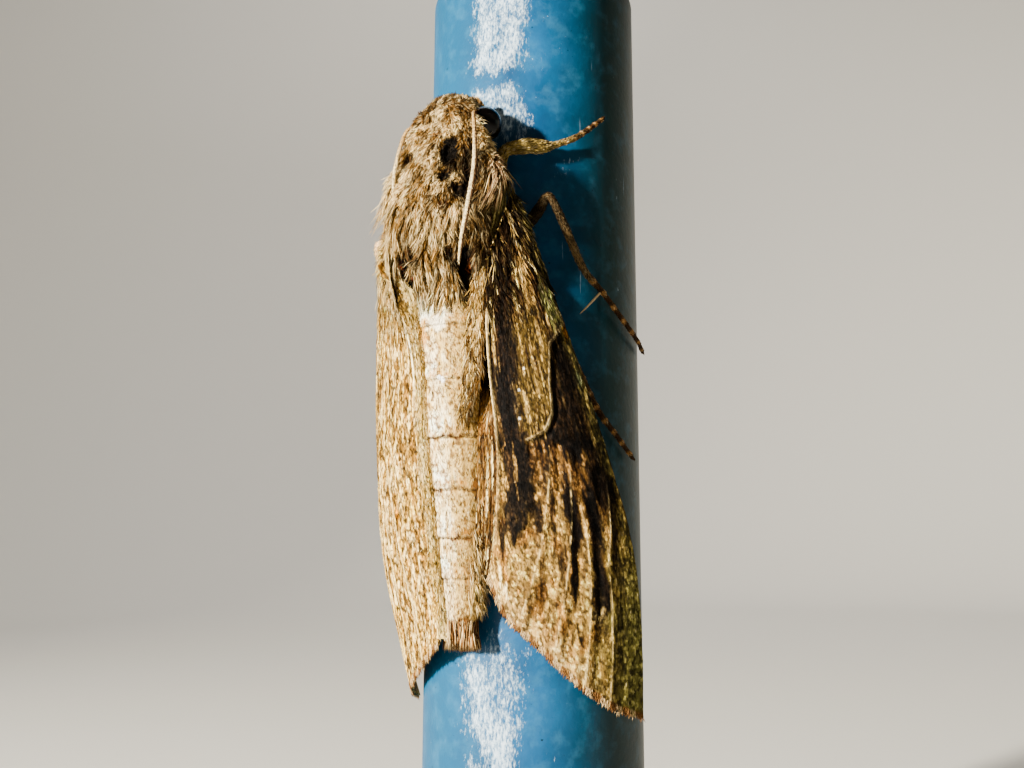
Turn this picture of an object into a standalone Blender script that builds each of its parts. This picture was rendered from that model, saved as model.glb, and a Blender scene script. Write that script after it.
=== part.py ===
"""A hawk moth at rest, head up, on a cut length of painted round pole.

The pole stands on a plain display base. The moth's own directions are x to its right,
height away from the pole's axis towards its back, and along from mid-body to its head.
"""

import math

import bmesh
import bpy
from mathutils import Euler, Matrix, Vector

MM = 0.001

# Driving dimensions, in millimetres.
POLE_RADIUS = 10.0
POLE_LENGTH = 75.0
BASE_RADIUS = 28.0
BASE_HEIGHT = 5.0
ROD_RADIUS = 2.5
ROD_LENGTH = 10.0
GAP = 0.3
MID_BODY = 52.0
WING_THICKNESS = 0.55
EYE_RADIUS = 1.5
EYE_PLACE = (2.75, 13.2, 20.8)
TEGULA_PLACE = (5.2, 15.8, 15.2)
TEGULA_SIZE = (0.65, 1.2, 2.6)
TEGULA_LEAN = -14.0
PALP_PLACE = (1.2, 11.6, 22.9)
PALP_SIZE = (0.62, 0.9, 1.1)
COIL_RADIUS = 1.2
COIL_THICKNESS = 0.5
COIL_PLACE = (0.0, 11.8, 22.7)
BODY_SIDES = 20

# Body forms as stations down the body: along, centre height, half width, half depth.
HEAD = [
    (18.8, 13.4, 3.2, 2.7),
    (19.6, 13.5, 3.6, 3.0),
    (20.8, 13.6, 3.7, 3.2),
    (21.8, 13.7, 3.3, 3.0),
    (22.6, 13.75, 2.65, 2.5),
    (23.3, 13.8, 1.75, 1.75),
    (23.6, 13.8, 0.9, 0.9),
]
THORAX = [
    (5.2, 14.0, 3.7, 3.3),
    (6.2, 14.3, 4.3, 3.7),
    (8.0, 14.7, 4.85, 4.1),
    (10.5, 14.9, 5.2, 4.3),
    (13.0, 14.9, 5.25, 4.3),
    (15.0, 14.6, 4.95, 4.0),
    (17.0, 14.1, 4.3, 3.5),
    (18.5, 13.7, 3.4, 2.9),
]
ABDOMEN = [
    (-21.5, 11.95, 1.8, 1.3),
    (-20.5, 12.0, 2.0, 1.4),
    (-17.5, 12.3, 2.55, 1.75),
    (-13.0, 12.7, 3.0, 2.15),
    (-8.0, 13.0, 3.35, 2.5),
    (-3.0, 13.35, 3.7, 2.85),
    (1.5, 13.6, 3.85, 3.1),
    (4.0, 13.65, 3.75, 3.05),
    (4.9, 13.7, 3.5, 2.8),
]
ANAL_TUFT = [
    (-24.1, 11.7, 1.4, 0.6),
    (-23.7, 11.75, 1.6, 0.8),
    (-22.8, 11.8, 1.7, 1.0),
    (-21.8, 11.9, 1.6, 1.1),
]

# Wing edges, from the root back: x outwards, height, along.
COSTA_RIGHT = [
    (6.0, 13.8, 14.2),
    (6.9, 14.0, 12.6),
    (7.8, 13.9, 10.4),
    (9.1, 12.5, 5.2),
    (11.1, 9.9, -3.6),
    (12.7, 7.1, -12.5),
    (13.0, 5.4, -18.1),
    (12.5, 3.5, -23.9),
    (11.7, 1.8, -29.6),
]
INNER_RIGHT = [
    (5.2, 16.4, 7.4),
    (4.8, 15.9, 3.6),
    (4.6, 15.0, -1.0),
    (4.75, 14.2, -5.8),
    (4.6, 13.7, -10.0),
    (4.1, 13.2, -14.2),
    (3.2, 12.8, -17.9),
]
TIP_RIGHT = [
    (11.7, 1.8, -29.6),
    (10.6, 5.3, -28.4),
    (8.9, 7.9, -26.5),
    (6.5, 10.3, -23.5),
    (4.4, 11.9, -21.0),
    (3.2, 12.8, -17.9),
]
COSTA_LEFT = [
    (6.0, 13.8, 14.2),
    (6.9, 14.0, 12.6),
    (7.8, 13.9, 10.4),
    (9.1, 12.5, 5.2),
    (11.1, 9.9, -3.6),
    (12.7, 7.1, -12.5),
    (13.0, 5.4, -18.1),
    (12.4, 3.6, -23.9),
    (11.3, 2.2, -29.5),
]
INNER_LEFT = [
    (5.1, 16.9, 7.4),
    (3.5, 17.6, 5.2),
    (1.9, 17.5, 2.6),
    (1.4, 16.8, -1.2),
    (1.6, 16.1, -6.8),
    (1.3, 15.5, -11.7),
    (1.1, 14.8, -16.0),
    (1.1, 14.0, -19.8),
    (1.3, 13.3, -23.4),
]
TIP_LEFT = [
    (11.3, 2.2, -29.5),
    (9.3, 6.2, -28.4),
    (6.9, 9.0, -26.9),
    (4.0, 11.4, -25.0),
    (1.3, 13.3, -23.4),
]
HIND_COSTA = [
    (6.9, 12.1, 6.0),
    (8.7, 10.1, -3.0),
    (9.5, 8.3, -10.0),
    (9.1, 7.7, -17.0),
]
HIND_INNER = [
    (4.8, 13.3, 5.0),
    (4.6, 12.9, -3.0),
    (4.1, 12.5, -10.0),
    (3.5, 12.0, -16.0),
]

# Feelers and legs: x outwards, height, along, radius.
ANTENNA_RIGHT = [
    (2.6, 16.2, 21.4, 0.25),
    (3.7, 16.8, 20.0, 0.27),
    (4.5, 17.35, 17.4, 0.29),
    (4.85, 17.9, 14.8, 0.3),
    (4.7, 18.45, 11.7, 0.3),
    (4.4, 18.8, 9.0, 0.29),
    (4.1, 18.9, 6.8, 0.25),
]
ANTENNA_LEFT = [
    (2.6, 16.2, 21.4, 0.25),
    (3.4, 16.8, 20.0, 0.27),
    (4.0, 17.1, 17.6, 0.29),
    (4.4, 17.6, 15.2, 0.3),
    (4.55, 17.9, 13.0, 0.3),
    (4.5, 18.0, 10.6, 0.29),
    (4.3, 18.1, 8.0, 0.25),
]
FORE_LEG = [
    (3.4, 10.65, 15.8, 0.42),
    (3.7, 10.8, 17.6, 0.42),
    (3.9, 11.0, 19.1, 0.48),
    (5.2, 10.4, 19.25, 0.52),
    (6.6, 9.1, 19.4, 0.4),
    (8.4, 7.0, 20.6, 0.28),
    (9.8, 3.9, 23.4, 0.25),
]
MID_LEG_RIGHT = [
    (3.5, 10.6, 12.2, 0.38),
    (5.2, 10.4, 12.0, 0.42),
    (7.0, 11.2, 12.8, 0.42),
    (8.4, 11.9, 13.6, 0.36),
    (8.9, 10.6, 11.9, 0.36),
    (9.2, 7.3, 8.4, 0.3),
    (9.9, 4.7, 6.6, 0.25),
    (10.5, 2.4, 4.8, 0.25),
    (10.6, -0.6, 3.4, 0.25),
    (9.9, -3.8, 2.6, 0.25),
]
MID_LEG_LEFT = [
    (3.5, 10.6, 12.0, 0.38),
    (5.2, 10.4, 11.6, 0.42),
    (7.4, 11.4, 11.8, 0.42),
    (9.4, 12.3, 12.0, 0.36),
    (9.9, 10.8, 10.2, 0.36),
    (9.9, 7.4, 7.6, 0.3),
    (10.1, 4.4, 5.8, 0.25),
    (10.6, 1.8, 4.2, 0.25),
    (10.5, -1.4, 2.8, 0.25),
    (9.7, -4.4, 2.0, 0.25),
]
HIND_LEG = [
    (3.5, 10.6, 9.0, 0.36),
    (5.4, 10.1, 7.6, 0.4),
    (7.3, 8.9, 4.2, 0.34),
    (8.4, 7.5, 0.2, 0.3),
    (9.5, 5.6, -3.6, 0.27),
    (10.2, 3.2, -5.8, 0.25),
    (10.6, 0.3, -7.8, 0.25),
]

COLOURS = {
    "scaled_body": ((0.42, 0.32, 0.20), 0.85, 0.0),
    "pale_abdomen": ((0.60, 0.48, 0.31), 0.85, 0.0),
    "tuft_brown": ((0.33, 0.19, 0.08), 0.8, 0.0),
    "wing_scales": ((0.28, 0.20, 0.11), 0.8, 0.0),
    "eye_black": ((0.01, 0.01, 0.012), 0.1, 0.0),
    "antenna_cream": ((0.72, 0.62, 0.48), 0.6, 0.0),
    "leg_brown": ((0.22, 0.15, 0.08), 0.7, 0.0),
    "blue_paint": ((0.03, 0.14, 0.36), 0.35, 0.0),
    "stand_grey": ((0.35, 0.35, 0.36), 0.5, 0.0),
}


def clear_scene():
    for obj in list(bpy.data.objects):
        bpy.data.objects.remove(obj, do_unlink=True)
    for name in ("hawk_moth", "cutters"):
        collection = bpy.data.collections.new(name)
        bpy.context.scene.collection.children.link(collection)


def spot(x, height, along):
    """A point given in the moth's own directions, as a world position."""
    return Vector((x, -height, MID_BODY + along)) * MM


def material(name):
    found = bpy.data.materials.get(name)
    if found:
        return found
    colour, roughness, metallic = COLOURS[name]
    made = bpy.data.materials.new(name)
    made.use_nodes = True
    shader = made.node_tree.nodes["Principled BSDF"]
    shader.inputs["Base Color"].default_value = (*colour, 1.0)
    shader.inputs["Roughness"].default_value = roughness
    shader.inputs["Metallic"].default_value = metallic
    return made


def add_object(name, data, finish, collection="hawk_moth"):
    obj = bpy.data.objects.new(name, data)
    bpy.data.collections[collection].objects.link(obj)
    data.materials.append(material(finish))
    return obj


def mesh_object(name, bm, finish, collection="hawk_moth"):
    bmesh.ops.recalc_face_normals(bm, faces=bm.faces)
    mesh = bpy.data.meshes.new(name)
    bm.to_mesh(mesh)
    bm.free()
    mesh.shade_smooth()
    return add_object(name, mesh, finish, collection)


def curve_point(points, share):
    """The point at a share of the length of a smooth curve through the given points."""
    rows = [Vector(p) for p in points]
    spans = [(b.to_3d() - a.to_3d()).length for a, b in zip(rows, rows[1:])]
    reach = share * sum(spans)
    index = 0
    while index < len(spans) - 1 and reach > spans[index]:
        reach -= spans[index]
        index += 1
    t = min(reach / spans[index], 1.0)
    here, there = rows[index], rows[index + 1]
    before = rows[index - 1] if index > 0 else here * 2 - there
    after = rows[index + 2] if index + 2 < len(rows) else there * 2 - here
    return 0.5 * (
        here * 2
        + (there - before) * t
        + (before * 2 - here * 5 + there * 4 - after) * t * t
        + (here * 3 - before - there * 3 + after) * t ** 3
    )


def body_form(name, stations, rings, finish):
    """A closed form lofted through oval sections across the body's length."""
    bm = bmesh.new()
    loops = []
    for index in range(rings):
        along, height, half_width, half_depth = curve_point(stations, index / (rings - 1))
        shape = Matrix.Translation(spot(0.0, height, along))
        shape @= Matrix.Diagonal((half_width * MM, half_depth * MM, 1.0, 1.0))
        made = bmesh.ops.create_circle(bm, segments=BODY_SIDES, radius=1.0, matrix=shape)
        edges = {edge for vert in made["verts"] for edge in vert.link_edges}
        loops.append(sorted(edges, key=lambda edge: edge.index))
    for lower, upper in zip(loops, loops[1:]):
        bmesh.ops.bridge_loops(bm, edges=lower + upper)
    bmesh.ops.holes_fill(bm, edges=[edge for edge in bm.edges if edge.is_boundary])
    return mesh_object(name, bm, finish)


def ellipsoid(name, place, size, turn, finish, collection="hawk_moth", grow=0.0, sides=12):
    bm = bmesh.new()
    scale = Matrix.Diagonal(tuple((half + grow) * MM for half in size) + (1.0,))
    turn = Euler([math.radians(angle) for angle in turn]).to_matrix().to_4x4()
    matrix = Matrix.Translation(spot(*place)) @ turn @ scale
    bmesh.ops.create_uvsphere(bm, u_segments=sides, v_segments=sides // 2 + 2, radius=1.0, matrix=matrix)
    return mesh_object(name, bm, finish, collection)


def cut_with(obj, cutter):
    cutter.hide_render = True
    cutter.display_type = "WIRE"
    cut = obj.modifiers.new("cut_" + cutter.name, "BOOLEAN")
    cut.operation = "DIFFERENCE"
    cut.solver = "EXACT"
    cut.object = cutter


def limb(name, side, stations, steps, finish):
    """A tapering round tube along a smooth curve, closed at both ends."""
    curve = bpy.data.curves.new(name, "CURVE")
    curve.dimensions = "3D"
    curve.bevel_depth = MM
    curve.bevel_resolution = 2
    curve.use_fill_caps = True
    spline = curve.splines.new("POLY")
    spline.points.add(steps)
    for index, point in enumerate(spline.points):
        x, height, along, radius = curve_point(stations, index / steps)
        point.co = (*spot(side * x, height, along), 1.0)
        point.radius = radius
    return add_object(name, curve, finish)


def wing(name, side, costa, inner, tip, cells):
    """A thin sheet stretched between a wing's leading, inner and outer edges."""
    bm = bmesh.new()
    bmesh.ops.create_grid(bm, x_segments=cells[0], y_segments=cells[1], size=0.5)
    root_front, root_back = Vector(costa[0]), Vector(inner[0])
    tip_front, tip_back = Vector(costa[-1]), Vector(inner[-1])
    for vert in bm.verts:
        u = vert.co.x + 0.5
        v = vert.co.y + 0.5
        lengthwise = curve_point(costa, u).lerp(curve_point(inner, u), v)
        crosswise = root_front.lerp(root_back, v).lerp(curve_point(tip, v), u)
        corners = root_front.lerp(root_back, v).lerp(tip_front.lerp(tip_back, v), u)
        x, height, along = lengthwise + crosswise - corners
        vert.co = spot(side * x, height, along)
    obj = mesh_object(name, bm, "wing_scales")
    shell = obj.modifiers.new("thickness", "SOLIDIFY")
    shell.thickness = WING_THICKNESS * MM
    shell.offset = 0.0
    return obj


def round_bar(name, radius, bottom, top, sides, edge, finish):
    """An upright round bar with slightly broken edges."""
    bm = bmesh.new()
    matrix = Matrix.Translation((0.0, 0.0, (bottom + top) / 2 * MM))
    bmesh.ops.create_cone(
        bm, cap_ends=True, segments=sides, radius1=radius * MM, radius2=radius * MM,
        depth=(top - bottom) * MM, matrix=matrix,
    )
    obj = mesh_object(name, bm, finish)
    rounding = obj.modifiers.new("broken_edge", "BEVEL")
    rounding.width = edge * MM
    rounding.segments = 2
    rounding.limit_method = "ANGLE"
    return obj


def stand_and_perch():
    rod_bottom = BASE_HEIGHT + GAP
    rod_top = rod_bottom + ROD_LENGTH
    pole_bottom = rod_top + GAP
    round_bar("stand_base", BASE_RADIUS, 0.0, BASE_HEIGHT, 48, 0.6, "stand_grey")
    round_bar("stand_rod", ROD_RADIUS, rod_bottom, rod_top, 16, 0.2, "stand_grey")
    round_bar(
        "perch_pole", POLE_RADIUS, pole_bottom, pole_bottom + POLE_LENGTH, 48, 0.4, "blue_paint"
    )


def coil_disc(name, grow, collection):
    """The coiled tongue as a round disc edge-on between the palps."""
    bm = bmesh.new()
    matrix = Matrix.Translation(spot(*COIL_PLACE)) @ Matrix.Rotation(math.radians(90), 4, "Y")
    radius = (COIL_RADIUS + grow) * MM
    bmesh.ops.create_cone(
        bm, cap_ends=True, segments=24, radius1=radius, radius2=radius,
        depth=(COIL_THICKNESS + 2 * grow) * MM, matrix=matrix,
    )
    return mesh_object(name, bm, "tuft_brown", collection)


def head():
    skull = body_form("head", HEAD, 11, "scaled_body")
    for word, side in (("l", -1), ("r", 1)):
        x, height, along = EYE_PLACE
        place = (side * x, height, along)
        ball = (EYE_RADIUS,) * 3
        ellipsoid("eye_" + word, place, ball, (0, 0, 0), "eye_black")
        socket = ellipsoid("socket_" + word, place, ball, (0, 0, 0), "eye_black", "cutters", 0.2)
        cut_with(skull, socket)
        x, height, along = PALP_PLACE
        place = (side * x, height, along)
        lean = (20, side * 12, 0)
        ellipsoid("palp_" + word, place, PALP_SIZE, lean, "scaled_body")
        bed = ellipsoid("palp_bed_" + word, place, PALP_SIZE, lean, "scaled_body", "cutters", 0.25)
        cut_with(skull, bed)
    coil_disc("proboscis", 0.0, "hawk_moth")
    cut_with(skull, coil_disc("coil_bed", 0.22, "cutters"))


def trunk():
    thorax = body_form("thorax", THORAX, 13, "scaled_body")
    for word, side in (("l", -1), ("r", 1)):
        x, height, along = TEGULA_PLACE
        place = (side * x, height, along)
        turn = (0, side * TEGULA_LEAN, side * 12)
        ellipsoid("tegula_" + word, place, TEGULA_SIZE, turn, "scaled_body")
        bed = ellipsoid("tegula_bed_" + word, place, TEGULA_SIZE, turn, "scaled_body", "cutters", GAP)
        cut_with(thorax, bed)
    body_form("abdomen", ABDOMEN, 15, "pale_abdomen")
    body_form("anal_tuft", ANAL_TUFT, 5, "tuft_brown")


def wings():
    wing("forewing_r", 1, COSTA_RIGHT, INNER_RIGHT, TIP_RIGHT, (20, 8))
    wing("forewing_l", -1, COSTA_LEFT, INNER_LEFT, TIP_LEFT, (20, 8))
    hind_tip = [HIND_COSTA[-1], (6.5, 10.4, -18.0), HIND_INNER[-1]]
    wing("hindwing_r", 1, HIND_COSTA, HIND_INNER, hind_tip, (10, 4))
    wing("hindwing_l", -1, HIND_COSTA, HIND_INNER, hind_tip, (10, 4))


def limbs():
    for word, side in (("l", -1), ("r", 1)):
        limb("leg_fore_" + word, side, FORE_LEG, 18, "leg_brown")
        limb("leg_hind_" + word, side, HIND_LEG, 18, "leg_brown")
    limb("antenna_r", 1, ANTENNA_RIGHT, 16, "antenna_cream")
    limb("antenna_l", -1, ANTENNA_LEFT, 16, "antenna_cream")
    limb("leg_mid_r", 1, MID_LEG_RIGHT, 26, "leg_brown")
    limb("leg_mid_l", -1, MID_LEG_LEFT, 26, "leg_brown")


clear_scene()
stand_and_perch()
trunk()
head()
wings()
limbs()
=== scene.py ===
"""The looks of a hawk moth at rest, head up, on a cut length of worn blue-painted pole.

The moth's own directions are used throughout, in millimetres: x to its right, height away
from the pole's axis towards its back, and along from mid-body to its head.
"""

import math

import bmesh
import bpy
import numpy as np
from mathutils import Matrix, Vector
from mathutils.bvhtree import BVHTree
from mathutils.kdtree import KDTree

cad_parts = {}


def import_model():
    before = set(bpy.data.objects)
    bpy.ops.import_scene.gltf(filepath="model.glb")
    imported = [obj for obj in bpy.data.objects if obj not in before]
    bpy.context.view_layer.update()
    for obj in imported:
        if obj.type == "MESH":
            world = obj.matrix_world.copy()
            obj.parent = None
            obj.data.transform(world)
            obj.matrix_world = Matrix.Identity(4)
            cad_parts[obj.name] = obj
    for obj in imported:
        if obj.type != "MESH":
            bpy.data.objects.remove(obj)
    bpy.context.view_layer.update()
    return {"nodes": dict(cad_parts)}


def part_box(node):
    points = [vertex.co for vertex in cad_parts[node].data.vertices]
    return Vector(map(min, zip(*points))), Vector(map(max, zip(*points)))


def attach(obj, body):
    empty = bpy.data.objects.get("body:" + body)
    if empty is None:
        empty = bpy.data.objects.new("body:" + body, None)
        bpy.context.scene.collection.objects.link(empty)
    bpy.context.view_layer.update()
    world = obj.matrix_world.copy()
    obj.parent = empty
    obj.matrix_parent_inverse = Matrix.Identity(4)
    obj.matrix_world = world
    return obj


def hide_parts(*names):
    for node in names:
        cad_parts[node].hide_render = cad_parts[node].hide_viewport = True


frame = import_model()

MM = 0.001
MID_BODY = 52.0
NODES = frame["nodes"]
FLESH = ("head", "thorax", "abdomen", "anal_tuft", "tegula_l", "tegula_r")
POLE_RADIUS = 10.0
EYE_PLACE, EYE_RADIUS = (2.75, 13.2, 20.8), 1.5


# ---------------------------------------------------------------- colours and small sums

def hexa(code):
    """An sRGB hex colour as linear red, green and blue."""
    parts = [int(code[i:i + 2], 16) / 255.0 for i in (1, 3, 5)]
    return [p / 12.92 if p <= 0.04045 else ((p + 0.055) / 1.055) ** 2.4 for p in parts]


def hue(code):
    return np.array(hexa(code))


def spot(x, height, along):
    """A point in the moth's own directions, in world metres."""
    return Vector((x, -height, MID_BODY + along)) * MM


def world(points):
    """Rows of x, height, along in millimetres, as world metres."""
    points = np.asarray(points, float)
    return np.stack([points[..., 0], -points[..., 1], points[..., 2] + MID_BODY], -1) * MM


def eye_middle(side):
    x, height, along = EYE_PLACE
    return spot(side * x, height, along)


def ramp(value, low, high):
    """0 below low, 1 above high, smooth between."""
    t = np.clip((value - low) / (high - low), 0.0, 1.0)
    return t * t * (3 - 2 * t)


def hump(value, centre, width):
    """1 at the centre, falling smoothly away on both sides."""
    return np.exp(-((value - centre) / width) ** 2)


def grain(x, y, seed=0):
    """Smooth noise from 0 to 1 over a plane, one unit from bump to bump."""
    xi, yi = np.floor(x), np.floor(y)
    fx, fy = x - xi, y - yi
    fx, fy = fx * fx * (3 - 2 * fx), fy * fy * (3 - 2 * fy)

    def corner(a, b):
        value = np.sin(a * 127.1 + b * 311.7 + seed * 74.7) * 43758.5453
        return value - np.floor(value)

    near = corner(xi, yi) * (1 - fx) + corner(xi + 1, yi) * fx
    far = corner(xi, yi + 1) * (1 - fx) + corner(xi + 1, yi + 1) * fx
    return near * (1 - fy) + far * fy


def mixed_grain(x, y, seed=0):
    return 0.6 * grain(x, y, seed) + 0.4 * grain(x * 2.1, y * 2.1, seed + 5)


def plain(code, like):
    """One colour at every place of an array of places."""
    return hue(code) * np.ones((*np.shape(like), 3))


def blend_in(colour, share, other):
    """Rows of colours moved towards one other colour, or its hex code, by a share each."""
    other = hue(other) if isinstance(other, str) else other
    return colour + (other - colour) * share[..., None]


def mottled(tone, x, y, across, along, seed, low, high, strength, code):
    """Blotches of a colour where smooth noise lies above a level, finer for more across."""
    share = ramp(mixed_grain(x * across, y * along, seed), low, high) * strength
    return blend_in(tone, share, code)


def varied(rng, spread, count):
    """Random factors about 1."""
    return np.exp(rng.normal(0, spread, count))


def richer(tint, contrast, colour=1.2, pivot=0.3):
    """Tints with their lights, darks and colour drawn further apart about a middle value."""
    bright = np.maximum(tint.mean(-1, keepdims=True), 1e-4)
    value = pivot * (bright / pivot) ** contrast
    return np.clip(value + (tint - bright) * (value / bright) * colour, 0.0, 0.97)


def along_curve(points, shares):
    """Rows on a smooth curve through the points, at shares of its length."""
    rows = np.asarray(points, float)
    spans = np.linalg.norm(np.diff(rows[:, :3], axis=0), axis=1)
    reach = np.asarray(shares, float) * spans.sum()
    ends = np.cumsum(spans)
    index = np.clip(np.searchsorted(ends, reach - 1e-9), 0, len(spans) - 1)
    t = np.clip((reach - (ends[index] - spans[index])) / spans[index], 0, 1)[:, None]
    padded = np.vstack([rows[0] * 2 - rows[1], rows, rows[-1] * 2 - rows[-2]])
    before, here = padded[index], padded[index + 1]
    there, after = padded[index + 2], padded[index + 3]
    return 0.5 * (
        here * 2
        + (there - before) * t
        + (before * 2 - here * 5 + there * 4 - after) * t ** 2
        + (here * 3 - before - there * 3 + after) * t ** 3
    )


def soften(grid, steps, wrap):
    """Averages a grid with its neighbours a number of times; wrap closes the second axis."""
    for _ in range(steps):
        inner = np.pad(grid, ((1, 1), (0, 0)), mode="edge")
        grid = (inner[:-2] + 2 * inner[1:-1] + inner[2:]) / 4
        if wrap:
            grid = (np.roll(grid, 1, 1) + 2 * grid + np.roll(grid, -1, 1)) / 4
    return grid


def unit(rows):
    return rows / np.maximum(np.linalg.norm(rows, axis=-1, keepdims=True), 1e-12)


# ---------------------------------------------------------------- surfaces and their meshes

# The bake map keeps clear of its own edges, and a tuft's patch of it is this wide.
MAP_EDGE, MAP_SPAN = 0.01, 0.98
PATCH_EDGE, PATCH_SPAN, PATCH = 0.02, 0.95, 0.003


class Surface:
    """A grid of points in metres. The first axis runs the way the scales lie."""

    def __init__(self, points, outside, wrap=False):
        self.points = points
        self.wrap = wrap
        self.lengthwise = np.gradient(points, axis=0)
        if wrap:
            step = (points[:, 1] - points[:, -2])[:, None] / 2
            across = np.gradient(points, axis=1)
            across[:, :1], across[:, -1:] = step, step
            self.crosswise = across
        else:
            self.crosswise = np.gradient(points, axis=1)
        normals = unit(np.cross(self.lengthwise, self.crosswise))
        towards = points - outside if wrap else np.broadcast_to(outside, points.shape)
        self.turned = float((normals * towards).sum()) < 0
        self.normals = -normals if self.turned else normals
        self.area = np.linalg.norm(np.cross(self.lengthwise, self.crosswise), axis=-1) / MM ** 2

    def raised(self, height):
        """The grid moved outwards by a height in millimetres at each point."""
        return self.points + self.normals * height[..., None] * MM

    def at(self, grid, a, b):
        """The value of a grid of rows at shares a and b of the two axes."""
        na, nb = grid.shape[:2]
        x, y = np.clip(a, 0, 1) * (na - 1), np.clip(b, 0, 1) * (nb - 1)
        i, j = np.minimum(x.astype(int), na - 2), np.minimum(y.astype(int), nb - 2)
        fx, fy = (x - i)[:, None], (y - j)[:, None]
        near = grid[i, j] * (1 - fy) + grid[i, j + 1] * fy
        far = grid[i + 1, j] * (1 - fy) + grid[i + 1, j + 1] * fy
        return near * (1 - fx) + far * fx

    def scatter(self, density, seed):
        """Random places, density of them on each square millimetre, as two rows of shares."""
        rng = np.random.default_rng(seed)
        load = (self.area * density)[:-1, :-1]
        count = int(load.sum())
        cells = rng.choice(load.size, size=count, p=load.ravel() / load.sum())
        i, j = np.unravel_index(cells, load.shape)
        a = (i + rng.random(count)) / load.shape[0]
        b = (j + rng.random(count)) / load.shape[1]
        return a, b


def share_grid(na, nb):
    return np.meshgrid(np.linspace(0, 1, na), np.linspace(0, 1, nb), indexing="ij")


def new_piece(name, mesh, finish, slot, *replaced):
    """An object of the moth, riding its one body, in place of some CAD nodes. Its slot is not used.
    """
    obj = bpy.data.objects.new(name, mesh)
    bpy.context.scene.collection.objects.link(obj)
    mesh.materials.append(finish)
    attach(obj, "root")
    if replaced:
        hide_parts(*replaced)
    return obj


def surface_mesh(name, surface, tint, closed=False):
    """A mesh on a surface's grid, with its tint, and a map of it opened flat."""
    na, nb = surface.points.shape[:2]
    bm = bmesh.new()
    bmesh.ops.create_grid(bm, x_segments=na - 1, y_segments=nb - 1, size=0.5)
    map_layer = bm.loops.layers.uv.new("OFBake")
    colour_layer = bm.verts.layers.float_color.new("Tint")
    flow_layer = bm.loops.layers.uv.new("Flow")
    reach = np.linalg.norm(surface.lengthwise, axis=-1).mean(1).sum()
    girth = np.linalg.norm(surface.crosswise, axis=-1).mean(0).sum()
    for face in bm.faces:
        for loop in face.loops:
            a, b = loop.vert.co.x + 0.5, loop.vert.co.y + 0.5
            loop[map_layer].uv = (MAP_EDGE + MAP_SPAN * b, MAP_EDGE + MAP_SPAN * a)
            loop[flow_layer].uv = (b * girth, a * reach)
    for vert in bm.verts:
        i = round((vert.co.x + 0.5) * (na - 1))
        j = round((vert.co.y + 0.5) * (nb - 1))
        vert.co = surface.points[i, j]
        vert[colour_layer] = (*tint[i, j], 1.0)
    if closed:
        bmesh.ops.remove_doubles(bm, verts=bm.verts, dist=1e-7)
        bmesh.ops.holes_fill(bm, edges=[edge for edge in bm.edges if edge.is_boundary])
        bmesh.ops.recalc_face_normals(bm, faces=bm.faces)
    else:
        bm.faces.ensure_lookup_table()
        middle = bm.faces[len(bm.faces) // 2]
        middle.normal_update()
        a, b = na // 2, nb // 2
        if middle.normal.dot(Vector(surface.normals[a, b])) < 0:
            bmesh.ops.reverse_faces(bm, faces=bm.faces)
    return finished_mesh(name, bm)


def finished_mesh(name, bm):
    mesh = bpy.data.meshes.new(name)
    bm.to_mesh(mesh)
    bm.free()
    mesh.shade_smooth()
    return mesh


def thicken(obj, thickness):
    """Gives a sheet its wall, inwards from the face that shows."""
    wall = obj.modifiers.new("wall", "SOLIDIFY")
    wall.thickness = thickness * MM
    wall.offset = -1.0
    return obj


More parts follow.
